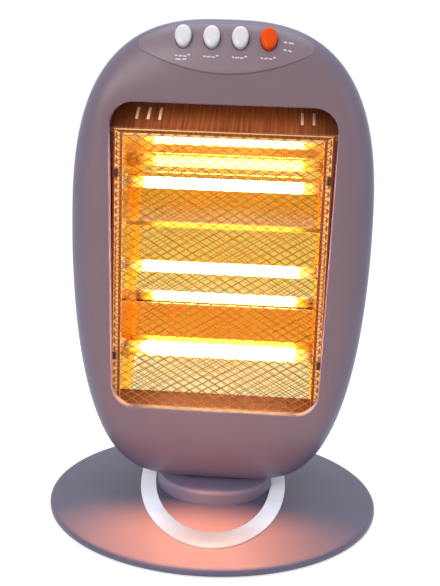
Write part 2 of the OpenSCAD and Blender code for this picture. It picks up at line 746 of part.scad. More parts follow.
panel_rows = 8;
module panel_slab() {
    us = panel_us;
    n = len(us);
    m = panel_rows + 1;
    front = [for (j = [0:panel_rows]) for (u = us) panel_point(u, j / panel_rows, panel_lift(u, j / panel_rows))];
    back = [for (j = [0:panel_rows]) for (u = us) panel_point(u, j / panel_rows, -shell_wall)];
    k = n * m;
    polyhedron(points = concat(front, back), faces = concat(
        [for (j = [0:m - 2]) for (i = [0:n - 2])
            let (a = j * n + i) each [[a, a + n + 1, a + 1], [a, a + n, a + n + 1]]],
        [for (j = [0:m - 2]) for (i = [0:n - 2])
            let (a = k + j * n + i) each [[a, a + 1, a + n + 1], [a, a + n + 1, a + n]]],
        [for (i = [0:n - 2]) each [[i, i + 1, k + i + 1], [i, k + i + 1, k + i]]],
        [for (i = [0:n - 2]) let (a = (m - 1) * n + i) each [[a, k + a + 1, a + 1], [a, k + a, k + a + 1]]],
        [for (j = [0:m - 2]) let (a = j * n) each [[a, k + a, k + a + n], [a, k + a + n, a + n]]],
        [for (j = [0:m - 2]) let (a = j * n + n - 1) each [[a, a + n, k + a + n], [a, k + a + n, k + a]]]),
        convexity = 4);
}

// frame of a push button: its axis runs along local Y, into the panel
function button_x(i) = (i - 1.5) * button_pitch;
module at_button(i) {
    translate([button_x(i), shell_y(button_x(i), button_z) - 1.2, button_z])
        rotate([-button_lean, 0, 0]) children();
}

// oval outline of a button, in X and Z, narrowed by d all round
module button_oval(d) {
    polygon([for (a = [0:15:345]) [(button_w / 2 - d) * cos(a), (button_l / 2 - d) * sin(a)]]);
}

module control_panel() color(shell_grey) difference() {
    panel_slab();
    for (i = [0:3]) at_button(i) plate_y(-8, 8) button_oval(-air_gap);
}

// button: a domed oval cap on a stem that ends at its switch
dome_h = 3;
cap_in = 1.5;                       // depth of the cap inside the panel
stem_r = 2.5;
switch_y = 8;                       // front of the switch behind the panel's face
module button_cap() {
    levels = [[4, 2.8], [2, 2.3], [0.9, 1.5], [0.35, 0.7], [0, 0], [0, dome_h - button_h - cap_in]];
    ring_bag([for (l = levels) [for (a = [0:15:345])
        [(button_w / 2 - l[0]) * cos(a), dome_h - button_h - l[1], (button_l / 2 - l[0]) * sin(a)]]],
        [0, -button_h, 0], [0, cap_in, 0]);
}
module button(i, paint) color(paint) at_button(i) {
    button_cap();
    rod_y(0, 0, stem_r, cap_in - cut, switch_y - air_gap);
}
module button_1() button(0, white);
module button_2() button(1, white);
module button_3() button(2, white);
module button_4() button(3, orange);

switch_low = 9;
switch_depth = 16;
plate_at = switch_y + switch_depth; // front of the bracket's plate, in the middle's frame
// the same plane in the frame of a place at x, whose face lies further back
function plate_from(x) =
    plate_at - (shell_y(x, button_z) - shell_y(0, button_z)) * cos(button_lean);

module switch_bank() color(black) for (i = [0:3]) at_button(i) difference() {
    box([-7, switch_y, -switch_low], [7, plate_from(button_x(i)) - seat, switch_low]);
    rod_y(0, 0, stem_r + air_gap, switch_y - cut, switch_y + button_travel + 2);
}

bracket_x = 55;                     // where the bracket's arms reach the panel
module switch_bracket() color(bright_steel) difference() {
    union() {
        at_button(1.5) box([-bracket_x - 1, plate_at, -switch_low - 3], [bracket_x + 1, plate_at + 1.5, switch_low - 1]);
        for (side = [-1, 1]) at_button(1.5 + side * bracket_x / button_pitch)
            box([-1, 2.4, -4], [1, plate_from(bracket_x) + 1, 4]);
    }
    panel_slab();
}

// ---------------------------------------------------------------- guard

guard_half = guard_w / 2;
// rivets of the clips that hold the net on its side rails
clip_x = guard_half - 2.7;
clip_zs = [guard_low + 51, guard_high - 38.2];
clip_h = 7;
rivet_r = 1;
module rivet_holes() {
    for (side = [-1, 1], z = clip_zs) translate([side * clip_x, z]) circle(r = rivet_r + seat);
}

module guard_frame() color(dark_steel) plate_y(rail_y, rail_y + rail_t) difference() {
    translate([-guard_half, guard_low]) square([guard_w, guard_high - guard_low]);
    translate([-guard_half + side_rail, guard_low + end_rail])
        square([guard_w - 2 * side_rail, guard_high - guard_low - 2 * end_rail]);
    rivet_holes();
}

// the net: crossed strands, as a plate less its diamond gaps
net_in = 1;                         // net's edge inside the rails' outer edge
net_edge = 3;                       // plain edge of the net
module guard_mesh() color(dark_steel) plate_y(mesh_y, rail_y) {
    w = guard_w - 2 * net_in;
    h = guard_high - guard_low - 2 * net_in;
    pitch_x = (w - 2 * net_edge) / net_columns;
    pitch_z = (h - 2 * net_edge) / net_rows;
    thick = strand_w / 2 * norm([pitch_x, pitch_z]) / pitch_x / pitch_z;
    difference() {
        translate([-w / 2, guard_low + net_in]) square([w, h]);
        for (row = [0:2 * net_rows - 2], col = [0:net_columns - 1 - row % 2])
            translate([-w / 2 + net_edge + (col + 0.5 + (row % 2) / 2) * pitch_x,
                    guard_low + net_in + net_edge + (row / 2 + 0.5) * pitch_z])
                polygon([[pitch_x * (0.5 - thick), 0], [0, pitch_z * (0.5 - thick)],
                    [-pitch_x * (0.5 - thick), 0], [0, -pitch_z * (0.5 - thick)]]);
        rivet_holes();
    }
}

module guard_clips() color(dark_steel) for (side = [-1, 1], z = clip_zs) {
    box([side * (clip_x - 0.6) - 1.6, mesh_y - 0.8, z - clip_h / 2],
        [side * (clip_x - 0.6) + 1.6, mesh_y, z + clip_h / 2]);
    rod_y(side * clip_x, z, rivet_r, mesh_y, rail_y + rail_t);
}

// ---------------------------------------------------------------- reflector and lamps

lamp_zs = [lamp_z + lamp_pitch, lamp_z, lamp_z - lamp_pitch];
ridge_zs = [(lamp_zs[0] + lamp_zs[1]) / 2, (lamp_zs[1] + lamp_zs[2]) / 2];

// fold lines of the bent sheet, from its roof down: how far in front of the back plane, and how high.
// Two hoods fold over the upper lamp, and a ridge stands between each pair of lamps.
folds = [[16, roof_z], [4.4, lamp_zs[0] + 23.8], [0.3, lamp_zs[0] + 6],
    [6, ridge_zs[0] - 1], [0, ridge_zs[0] - 6],
    [11.5, ridge_zs[1] + 11.5], [5, ridge_zs[1] - 2],
    [10.4, lamp_zs[2] - 2.2], [26, floor_z]];
refl_line = concat([[wall_y + 1, roof_z]], [for (f = folds) [refl_y - f[0], f[1]]]);
foot = refl_line[len(refl_line) - 1];

// the line moved outwards by d, with mitred folds
function facing(a, b) = [a[1] - b[1], b[0] - a[0]] / norm(b - a);
function moved_out(line, d) = let (last = len(line) - 1) [for (i = [0:last])
    let (n1 = facing(line[max(i - 1, 0)], line[max(i, 1)]),
        n2 = facing(line[min(i, last - 1)], line[min(i + 1, last)]))
    line[i] + d * (n1 + n2) / (1 + n1 * n2)];
function turned(list) = [for (i = [len(list) - 1:-1:0]) list[i]];

module reflector_back() color(gold) plate_x(-refl_half + seat, refl_half - seat)
    polygon(concat(refl_line, turned(moved_out(refl_line, sheet_t))));

floor_front = win_low - 4.5;        // height of the floor's front edge
module reflector_floor() color(gold) plate_x(-refl_half + seat, refl_half - seat)
    polygon([[foot[0] - 0.4, foot[1]], [wall_y + 1, floor_front], [wall_y + 1, floor_front - sheet_t],
        [foot[0] - 0.4, foot[1] - sheet_t]]);

module reflector_sides() color(gold) for (side = [-1, 1]) difference() {
    union() {
        plate_x(side * (refl_half + sheet_t / 2) - sheet_t / 2, side * (refl_half + sheet_t / 2) + sheet_t / 2)
            translate([skirt_y, floor_front - 2]) square([refl_y + 4 - skirt_y, roof_z + 1 - floor_front + 2]);
        flange_mid = (refl_half + boss_x + 5) / 2;
        flange_half = (boss_x + 5 - refl_half) / 2;
        box([side * flange_mid - flange_half, skirt_y, boss_zs[0] - 22],
            [side * flange_mid + flange_half, wall_y, roof_z + 1]);
    }
    for (z = lamp_zs) rod_x(lamp_y, z, cap_d / 2 + air_gap, -200, 200);
    for (z = boss_zs) rod_y(side * boss_x, z, 1.5 + seat, skirt_y - cut, wall_y + cut);
}

module reflector_screws() color(bright_steel) for (side = [-1, 1], z = boss_zs) {
    rod_y(side * boss_x, z, 3, wall_y, wall_y + 2);
    rod_y(side * boss_x, z, 1.5, skirt_y - 5, wall_y);
}

// the cowl above the guard: a sloping plate with slots, a front lip and a back lip
slot_xs = [-76, -66, -56, 66, 76];
cowl_low = guard_high + 0.8;
module vent_cowl() color(dark_steel) {
    rise = cowl_depth * tan(cowl_slope);
    difference() {
        plate_x(-cowl_half, cowl_half) polygon([[skirt_y, roof_z + 1.2], [skirt_y, cowl_low],
            [skirt_y + cowl_depth, cowl_low + rise], [skirt_y + cowl_depth, cowl_low + rise + 7],
            [skirt_y + cowl_depth + sheet_t, cowl_low + rise + 7],
            [skirt_y + cowl_depth + sheet_t, cowl_low + rise - sheet_t * 0.6],
            [wall_y, cowl_low - 0.5], [wall_y, roof_z + 1.2]]);
        for (x = slot_xs) box([x - 1.2, skirt_y + 11, cowl_low], [x + 1.2, skirt_y + 27, cowl_low + rise]);
    }
}

module lamp_tube(k) color([0.95, 0.9, 0.8, 0.5]) difference() {
    rod_x(lamp_y, lamp_zs[k], tube_d / 2, -tube_l / 2, tube_l / 2);
    rod_x(lamp_y, lamp_zs[k], tube_d / 2 - tube_wall, -tube_l / 2 - cut, tube_l / 2 + cut);
}
module lamp_tube_1() lamp_tube(0);
module lamp_tube_2() lamp_tube(1);
module lamp_tube_3() lamp_tube(2);

// the coil and its two straight leads, which end in the caps
module lamp_coil(k) color([1, 0.8, 0.4]) {
    rod_x(lamp_y, lamp_zs[k], coil_d / 2, -coil_l / 2, coil_l / 2);
    for (side = [-1, 1]) rod_x(lamp_y, lamp_zs[k], 0.5,
        side < 0 ? -cap_seat : coil_l / 2, side < 0 ? -coil_l / 2 : cap_seat);
}
module lamp_coil_1() lamp_coil(0);
module lamp_coil_2() lamp_coil(1);
module lamp_coil_3() lamp_coil(2);

cap_front = tube_l / 2 - 4;         // where a cap starts, from the middle
cap_end = cap_front + 18;
cap_seat = tube_l / 2 + seat;       // bottom of the cap's socket
module lamp_caps() color(white) for (side = [-1, 1], z = lamp_zs) difference() {
    rod_x(lamp_y, z, cap_d / 2, side < 0 ? -cap_end : cap_front, side < 0 ? -cap_front : cap_end);
    rod_x(lamp_y, z, tube_d / 2 + seat, side < 0 ? -cap_seat : cap_front - cut, side < 0 ? -cap_front + cut : cap_seat);
}

holder_t = 1.2;
holder_out = cap_end - 3;
module lamp_holders() color(bright_steel) for (side = [-1, 1]) difference() {
    union() {
        box([side * (refl_half + sheet_t + holder_t / 2) - holder_t / 2, lamp_y - 9, lamp_zs[2] - 14],
            [side * (refl_half + sheet_t + holder_t / 2) + holder_t / 2, lamp_y + 9, lamp_zs[0] + 14]);
        for (z = lamp_zs) rod_x(lamp_y, z, cap_d / 2 + 2,
            side < 0 ? -holder_out : refl_half + sheet_t, side < 0 ? -refl_half - sheet_t : holder_out);
    }
    for (z = lamp_zs) rod_x(lamp_y, z, cap_d / 2 + seat, -200, 200);
}

shield_y = refl_y + 8;
module heat_shield() color(bright_steel) {
    box([-refl_half - 5, shield_y, floor_z + 12], [refl_half + 5, shield_y + sheet_t, roof_z]);
    for (side = [-1, 1], z = [lamp_z - 14, lamp_z + 44])
        rod_y(side * (refl_half - 21), z, 4, refl_y + sheet_t, shield_y);
}

cutout_z = 316;
module thermal_cutout() color(black) {
    rod_y(0, cutout_z, 8, shield_y + sheet_t, shield_y + sheet_t + 7);
    box([-14, shield_y + sheet_t, cutout_z - 4], [14, shield_y + sheet_t + 1, cutout_z + 4]);
}

// ---------------------------------------------------------------- electrical pieces on the chassis

chassis_top = chassis_z + chassis_t;
module tilt_switch() color(black) {
    box([38, 2, chassis_top], [54, 18, chassis_top + 14]);
}

block_x = 36;
block_y = 26;
block_l = 20;
module terminal_block() color(white) difference() {
    box([block_x, block_y, chassis_top], [block_x + block_l, block_y + 14, chassis_top + 11]);
    for (i = [0:2]) translate([block_x + 4 + i * 6, block_y + 7, chassis_top + 6]) cylinder(h = 6, r = 1.6);
}

// wires between the gland, the block and the cut-out, bundled and laid square to the frame
wire_r = 1.3;                       // half width of a bundle
// a run of wire from point a to point b, which differ along one axis only
module wire_run(a, b) {
    box([for (i = [0:2]) min(a[i], b[i]) - wire_r], [for (i = [0:2]) max(a[i], b[i]) + wire_r]);
}
module wire(points) {
    for (i = [0:len(points) - 2]) wire_run(points[i], points[i + 1]);
}
module wiring() color([0.15, 0.15, 0.4]) {
    block_top = chassis_top + 11 + seat + wire_r;
    gland_in = gland_pad_y - 13 - seat - wire_r;
    cutout_back = shield_y + sheet_t + 7 + wire_r + seat;
    wire([[0, gland_in, gland_z], [46, gland_in, gland_z], [46, block_y + 7, gland_z],
        [46, block_y + 7, block_top]]);
    wire([[wire_r, cutout_back, cutout_z], [20, cutout_back, cutout_z], [20, cutout_back, gland_z - 8],
        [20, block_y + 7, gland_z - 8], [40, block_y + 7, gland_z - 8], [40, block_y + 7, block_top]]);
}

base_plate();
base_cover();
base_ballast();
rubber_feet();
cover_screws();
base_collar();
collar_screws();
trim_arc();
swivel_spindle();
spindle_screws();
thrust_washer();
retaining_nut();
slotted_arm();
neck_skirt();
neck_screws();
chassis_plate();
swing_motor();
motor_screws();
crank_arm();
front_shell();
rear_shell();
shell_screws();
control_panel();
button_1();
button_2();
button_3();
button_4();
switch_bank();
switch_bracket();
guard_frame();
guard_mesh();
guard_clips();
vent_cowl();
reflector_back();
reflector_floor();
reflector_sides();
reflector_screws();
lamp_tube_1();
lamp_tube_2();
lamp_tube_3();
lamp_coil_1();
lamp_coil_2();
lamp_coil_3();
lamp_caps();
lamp_holders();
heat_shield();
thermal_cutout();
tilt_switch();
terminal_block();
wiring();
cord_gland();
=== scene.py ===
# %% [markdown]
# # A halogen heater on a swivel base
# The heater stands 435 mm high: an egg-shaped head with three glowing lamps behind a wire guard, on a low
# round base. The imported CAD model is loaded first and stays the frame: every piece made here rides on one
# of its bodies. Where a CAD solid is coarse, a finer piece with the same rule of shape takes its place;
# where it is right, it only gets a better finish.

# %% Load the frame
import math

import bmesh
import bpy
import numpy as np
from mathutils import Matrix, Vector


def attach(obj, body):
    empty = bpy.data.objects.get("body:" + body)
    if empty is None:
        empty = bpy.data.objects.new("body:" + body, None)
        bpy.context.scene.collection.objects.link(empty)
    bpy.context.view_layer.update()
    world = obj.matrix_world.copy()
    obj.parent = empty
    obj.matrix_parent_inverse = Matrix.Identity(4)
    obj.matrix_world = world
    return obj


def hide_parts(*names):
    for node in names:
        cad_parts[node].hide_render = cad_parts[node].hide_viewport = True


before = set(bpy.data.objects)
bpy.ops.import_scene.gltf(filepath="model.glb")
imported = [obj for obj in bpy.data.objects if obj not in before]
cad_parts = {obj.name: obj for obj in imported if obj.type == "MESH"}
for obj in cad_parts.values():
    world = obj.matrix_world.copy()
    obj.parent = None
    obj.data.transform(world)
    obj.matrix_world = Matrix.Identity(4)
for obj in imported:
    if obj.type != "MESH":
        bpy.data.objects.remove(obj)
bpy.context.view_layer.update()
MM = 0.001

# %% [markdown]
# ## The camera
# The photograph was measured first: the base's rim is an ellipse, the window is nearly a rectangle and the
# lamps are straight, so their places in the picture give the lens, the distance and the tilt. A camera
# could follow the object by a constraint, but writing these as numbers keeps the view fixed. It looks a
# little down and a little from the right, and it is rolled by two degrees.

# %% Camera
LENS_MM, SENSOR_MM = 63.01, 36         # the sensor lies along the picture's long side
CAMERA_AT = (57.014, -890.935, 407.112)
LOOKS_AT = (0.45, 0.03, 198.82)
ROLL = math.radians(1.95)


def camera_axes(at, target, roll):
    back = (Vector(at) - Vector(target)).normalized()
    right = Vector((0, 0, 1)).cross(back).normalized()
    up = back.cross(right)
    turned_right = math.cos(roll) * right + math.sin(roll) * up
    turned_up = -math.sin(roll) * right + math.cos(roll) * up
    return Matrix((turned_right, turned_up, back)).transposed()


camera_data = bpy.data.cameras.new("camera")
camera_data.lens = LENS_MM
camera_data.sensor_width = SENSOR_MM
camera_data.clip_start = 0.05
camera = bpy.data.objects.new("camera", camera_data)
bpy.context.scene.collection.objects.link(camera)
turned = camera_axes(CAMERA_AT, LOOKS_AT, ROLL).to_4x4()
camera.matrix_world = Matrix.Translation(Vector(CAMERA_AT) * MM) @ turned
bpy.context.scene.camera = camera
print("camera distance in mm:", round((Vector(CAMERA_AT) - Vector(LOOKS_AT)).length, 1))

# %% [markdown]
# ## Colours and nodes
# Colours are written as the hex values that a screen shows. Cycles computes in linear light, so one
# function turns them. A material could be clicked together in the Shader Editor; here one small function
# adds a node with its settings and its links, so that a whole tree reads from top to bottom.

# %% Colour and node helpers
def linear(hex_colour):
    channels = [int(hex_colour[i:i + 2], 16) / 255 for i in (1, 3, 5)]
    return tuple(c / 12.92 if c <= 0.04045 else ((c + 0.055) / 1.055) ** 2.4 for c in channels) + (1.0,)


def add(tree, kind, links=None, **settings):
    """Adds a node. Settings are attributes or input values, by name or, as in i1, by number. Links lead to
    the inputs from sockets, or from nodes, of which the first output in use is taken."""
    node = tree.nodes.new(kind)
    for name, value in settings.items():
        if hasattr(node, name):
            setattr(node, name, value)
        else:
            key = int(name[1:]) if name[1:].isdigit() and name[0] == "i" else name.replace("_", " ")
            node.inputs[key].default_value = value
    for name, source in (links or {}).items():
        if isinstance(source, bpy.types.Node):
            source = next(output for output in source.outputs if output.enabled)
        tree.links.new(source, node.inputs[name])
    return node


def new_material(name):
    material = bpy.data.materials.new(name)
    material.use_nodes = True
    material.node_tree.nodes.clear()
    return material, material.node_tree


print("middle grey in linear light:", round(linear("#808080")[0], 3))

# %% [markdown]
# ## Moulded plastic
# The shells are injection-moulded ABS with a fine satin texture. A real mould texture has grains of about
# 0.1 mm; they would vanish in the render, so they are drawn at 0.6 mm and kept shallow. A slow noise, some
# 40 mm wide, lets the colour and the gloss vary a little, as on any large moulding that has been handled.
# Two things can be laid over that, both painted light: a bluish painted sheen where the surface turns away
# from the eye, by a Layer Weight node, and a peach painted glow of the lamps on white plastic, uneven by a
# noise. On the trim band the painted glow starts 50 mm in front of the middle.

# %% Satin plastic
# The painted lamp glow's unevenness and strength come second and third; the tan named beside them is that
# painted glow.
BROAD_MM, PAINTED_GLOW_CLOUD_MM, PAINTED_GLOW_LEVEL = 40, 30, 0.67     # the slow noise, the tan's unevenness and its strength


def satin_plastic(name, hex_colour, hex_shade, roughness=0.36, grain_mm=0.6, depth_mm=0.012, rim=None,
                  painted_lamp_glow=None):
    """rim is a painted sheen's colour; painted_lamp_glow is (colour, near, far), grown along Y from near to
    far.
    """
    material, tree = new_material(name)
    place = add(tree, "ShaderNodeTexCoord").outputs["Object"]
    broad = add(tree, "ShaderNodeTexNoise", {"Vector": place}, Scale=1000 / BROAD_MM, Detail=3.0,
                Roughness=0.55)
    colour = add(tree, "ShaderNodeMix", {"Factor": broad}, data_type="RGBA", i6=linear(hex_colour),
                 i7=linear(hex_shade))
    if rim:
        # Painted sheen: the colour turns bluish where the surface turns away from the eye.
        painted_sheen_share = add(tree, "ShaderNodeLayerWeight", Blend=0.5).outputs["Facing"]
        colour = add(tree, "ShaderNodeMix", {"Factor": painted_sheen_share, 6: colour}, data_type="RGBA",
                     i7=linear(rim))
    # Painted lamp glow: a peach tint that grows along Y, uneven by noise.
    if painted_lamp_glow:
        hex_glow, near_mm, far_mm = painted_lamp_glow
        depth = add(tree, "ShaderNodeSeparateXYZ", {"Vector": place}).outputs["Y"]
        share = add(tree, "ShaderNodeMapRange", {"Value": depth}, interpolation_type="SMOOTHSTEP",
                    From_Min=near_mm * MM, From_Max=far_mm * MM)
        cloud = add(tree, "ShaderNodeTexNoise", {"Vector": place}, Scale=1000 / PAINTED_GLOW_CLOUD_MM, Detail=2.0)
        uneven = add(tree, "ShaderNodeMath", {0: share, 1: cloud, 2: share}, operation="MULTIPLY_ADD")
        level = add(tree, "ShaderNodeMath", {0: uneven}, operation="MULTIPLY", i1=PAINTED_GLOW_LEVEL, use_clamp=True)
        colour = add(tree, "ShaderNodeMix", {"Factor": level, 6: colour}, data_type="RGBA",
                     i7=linear(hex_glow))
    gloss = add(tree, "ShaderNodeMapRange", {"Value": broad}, To_Min=roughness - 0.04,
                To_Max=roughness + 0.06)
    grain = add(tree, "ShaderNodeTexNoise", {"Vector": place}, Scale=1000 / grain_mm, Detail=1.0,
                Roughness=0.4)
    bump = add(tree, "ShaderNodeBump", {"Height": grain}, Strength=1.0, Distance=depth_mm * MM)
    shader = add(tree, "ShaderNodeBsdfPrincipled", {"Base Color": colour, "Roughness": gloss, "Normal": bump},
                 IOR=1.53)
    add(tree, "ShaderNodeOutputMaterial", {"Surface": shader})
    return material


# The shell's bluish rim colour is a painted sheen where it turns away from the eye.
ABS_GREY = satin_plastic("abs_satin_mauve_grey", "#7E656C", "#745D64", rim="#5C6080")
# The panel's plastic is a lighter copy of the shell's: painted light for its upward-facing place.
ABS_PANEL = satin_plastic("abs_satin_panel_grey", "#87737B", "#7D6971", roughness=0.33)
# The base's plastic is a bluer copy of the shell's: painted sky light on its upward face.
ABS_BASE = satin_plastic("abs_satin_base_grey_painted_sky_light", "#635C72", "#5A546A", roughness=0.42)
ABS_BLACK = satin_plastic("abs_matt_black", "#1B1A1B", "#141314", roughness=0.5)
# The trim band's peach front is a painted glow of the lamps, from 50 to 112 mm in front of the middle.
ABS_WHITE = satin_plastic("abs_satin_white_with_painted_glow", "#F2F2FA", "#F2F2FA", roughness=0.34,
                          painted_lamp_glow=("#D4BAB2", -50, -112))
print("ABS finishes:", len([m for m in bpy.data.materials if "abs" in m.name]))

# %% [markdown]
# ## Nylon, rubber, sleeve and ceramic
# The thrust washer, the crank and the terminal block are natural nylon, the feet black rubber, the wires'
# sleeve silicone. The lamps' caps are unglazed fired ceramic, off-white and a little rough. Each could have
# a tree of its own, but all are dull and slightly grainy, so the function for satin plastic serves them,
# with more roughness.

# %% Soft plastics and ceramic
NYLON_WHITE = satin_plastic("nylon_natural_white", "#DAD6CC", "#D2CDC2", roughness=0.45)
RUBBER = satin_plastic("rubber_matt_black", "#161616", "#101010", roughness=0.75, grain_mm=0.9, depth_mm=0.03)
SLEEVE = satin_plastic("silicone_sleeve_blue_grey", "#3A3750", "#302D44", roughness=0.55)
CERAMIC = satin_plastic("steatite_fired_unglazed", "#D9CBB8", "#C9B9A2", roughness=0.62, grain_mm=0.8,
                        depth_mm=0.03)
print("dull finishes:", NYLON_WHITE.name, RUBBER.name, SLEEVE.name, CERAMIC.name)

# %% [markdown]
# ## Metals
# The guard and the cowl are steel that the heat has tinted brown; the cowl's warm brown is also partly a
# painted glow of the lamps' scattered light. The cowl's sheet was brushed upwards, so it shows upright
# lines; a Mapping node stretches a noise along one axis to draw such lines. The parts inside are
# zinc-plated or bright. What stands forward on the guard's rail has a colour of its own: paler on the end
# bars, browned by the heat on the side bars. An oxide skin looks less like metal than bare steel, so its
# metallic value is low.

# %% Metal finishes
RAISED_BLEND_MM = 0.25                 # the change of colour on a raised edge is this soft, to each side


def brushed_metal(name, hex_colour, hex_shade, roughness, stretch_mm, depth_mm=0.01, metallic=1.0,
                  raised=None):
    """stretch_mm is the grain's size along X, Y and Z. raised is (colour, y in mm): what stands further
    forward than that has this colour."""
    material, tree = new_material(name)
    place = add(tree, "ShaderNodeTexCoord").outputs["Object"]
    lines = add(tree, "ShaderNodeMapping", {"Vector": place}, Scale=tuple(1000 / s for s in stretch_mm))
    grain = add(tree, "ShaderNodeTexNoise", {"Vector": lines}, Scale=1.0, Detail=4.0, Roughness=0.6)
    spread = add(tree, "ShaderNodeMapRange", {"Value": grain}, From_Min=0.32, From_Max=0.68)
    colour = add(tree, "ShaderNodeMix", {"Factor": spread}, data_type="RGBA", i6=linear(hex_colour),
                 i7=linear(hex_shade))
    if raised:
        hex_raised, edge_mm = raised
        depth = add(tree, "ShaderNodeSeparateXYZ", {"Vector": place}).outputs["Y"]
        forward = add(tree, "ShaderNodeMapRange", {"Value": depth}, From_Min=(edge_mm + RAISED_BLEND_MM) * MM,
                      From_Max=(edge_mm - RAISED_BLEND_MM) * MM)
        colour = add(tree, "ShaderNodeMix", {"Factor": forward, 6: colour}, data_type="RGBA",
                     i7=linear(hex_raised))
    gloss = add(tree, "ShaderNodeMapRange", {"Value": grain}, To_Min=roughness - 0.05,
                To_Max=roughness + 0.07)
    bump = add(tree, "ShaderNodeBump", {"Height": grain}, Strength=1.0, Distance=depth_mm * MM)
    shader = add(tree, "ShaderNodeBsdfPrincipled", {"Base Color": colour, "Roughness": gloss, "Normal": bump},
                 Metallic=metallic)
    add(tree, "ShaderNodeOutputMaterial", {"Surface": shader})
    return material


GUARD_WIRE = brushed_metal("steel_wire_heat_browned", "#B47C1E", "#865A12", 0.65, (2, 2, 2), metallic=0.1)
# The side bars' pale channel colour is partly a painted glow of the lamps behind the net.
GUARD_RAIL = brushed_metal("steel_strip_heat_browned", "#FFCC88", "#F0B468", 0.34, (3, 3, 14), 0.02,
                           metallic=0.2, raised=("#8A2C0A", -20.2))
# On the end bars the crests that stand forward have a paler colour.
RAIL_ENDS = brushed_metal("steel_strip_heat_browned_bars", "#8A4A22", "#5E3014", 0.34, (14, 3, 3), 0.02,
                          metallic=0.4, raised=("#F4B070", -20.45))
RAIL_BACK = brushed_metal("steel_strip_zinc_yellow_passivated", "#E4E8A4", "#D2D48C", 0.5, (3, 3, 14), 0.02,
                          metallic=0.1)
# The cowl's warm brown is partly a painted glow of the lamps' scattered light.
COWL_SHEET = brushed_metal("steel_sheet_brushed_upright_brown", "#B0673C", "#6E3A1E", 0.45, (2.2, 60, 60),
                           0.03, metallic=0.35)
FLOOR_SHEET = brushed_metal("steel_sheet_heat_reddened", "#5E2210", "#461808", 0.6, (12, 2, 2), 0.02,
                            metallic=0.3)
CLIP_STEEL = brushed_metal("steel_clip_heat_darkened", "#5A3420", "#382012", 0.5, (2, 2, 2), metallic=0.4)
# The tongues' pale colour is partly bare metal and partly a painted glint for the light seen in the slots.
LANCED_EDGE = brushed_metal("steel_lanced_edge_bare_painted_glint", "#FFE6D2", "#F2CDB4", 0.45, (1.5, 1.5, 1.5),
                            metallic=0.25)
CRIMP_STEEL = brushed_metal("steel_crimp_browned", "#C07838", "#9A5624", 0.45, (1.5, 1.5, 1.5), metallic=0.3)
ZINC_SHEET = brushed_metal("steel_sheet_zinc_plated", "#B9BABC", "#9FA1A4", 0.36, (8, 8, 8), 0.01)
TURNED_STEEL = brushed_metal("steel_turned_bright", "#BDBDBF", "#A5A5A8", 0.26, (30, 30, 0.4), 0.006)
SCREW_STEEL = brushed_metal("steel_screw_plated", "#ABABAD", "#8A8A8D", 0.32, (1, 1, 1), 0.01)
print("steel finishes:", len([m for m in bpy.data.materials if "steel" in m.name]))

# %% [markdown]
# ## Gold-anodised sheet
# The reflector is bright aluminium sheet, gold-anodised and almost as smooth as a mirror, with faint lines
# from the rolling mill that run along the lamps. Its fine golden weave is the mirror image of the wire net,
# seen through the net itself, so the relief that is embossed in the sheet, diamonds of 7 by 5 mm made by
# two crossed sine waves, has to stay very shallow. Its tint changes in bands that follow the lamps: deep
# orange over the lowest lamp, pale yellow near the foot and between the two lower lamps. The bands are
# partly a tint from years of heat on the anodising and partly a painted glow and reflection of the lamps.
# A painted texture could hold those bands, but they only depend on the height, so a colour ramp along Z
# does. The bending tool has dulled the upper ridge, and the oxide is thicker on the roof and the upper
# hood, which look less like metal.

# %% Gold sheet
# (height in mm, tint) from the foot up
# The tints are partly heat tint and partly painted glow and reflection of the lamps.
HEAT_AND_GLOW_BANDS = ((96, "#F0E4AC"), (129, "#F0E09A"), (145, "#F6A030"), (176, "#F6982A"), (182, "#F2D890"),
              (192, "#F0DCA0"), (197, "#EAD678"), (213, "#EAD472"), (223, "#E8C65A"), (248, "#E8C45A"),
              (250.4, "#E8C45A"), (251, "#A89C66"), (255.2, "#A89C66"), (255.8, "#E8B470"), (262, "#E8B262"),
              (272, "#E8A234"), (290, "#E8A431"), (299, "#E6AE50"), (305, "#E4B45A"), (316, "#DEB050"),
              (325, "#DEB04C"), (330, "#F0DCA0"))
SATIN_BANDS = ((96, "#F4E0B0"), (330, "#F2DCA6"))
EMBOSS_W, EMBOSS_H = 7.05, 4.9
PLAIN_FROM, PLAIN_TO, PLAIN_SHARE = 290, 296, 0.15   # between these heights the relief fades to this share
OXIDE_FROM, OXIDE_TO, OXIDE_SHARE = 312, 319, 0.72   # and here the metal's look fades to this share
RIDGE_Z, RIDGE_HALF, RIDGE_DULLING = 253.0, 3.6, 0.3
ROLLING_LINES_MM = (60, 1.5, 1.5)
# Dark brown painted shade for the flanges in the narrow gap beside the guard frame.
PAINTED_FLANGE_SHADE = "#5A3422"


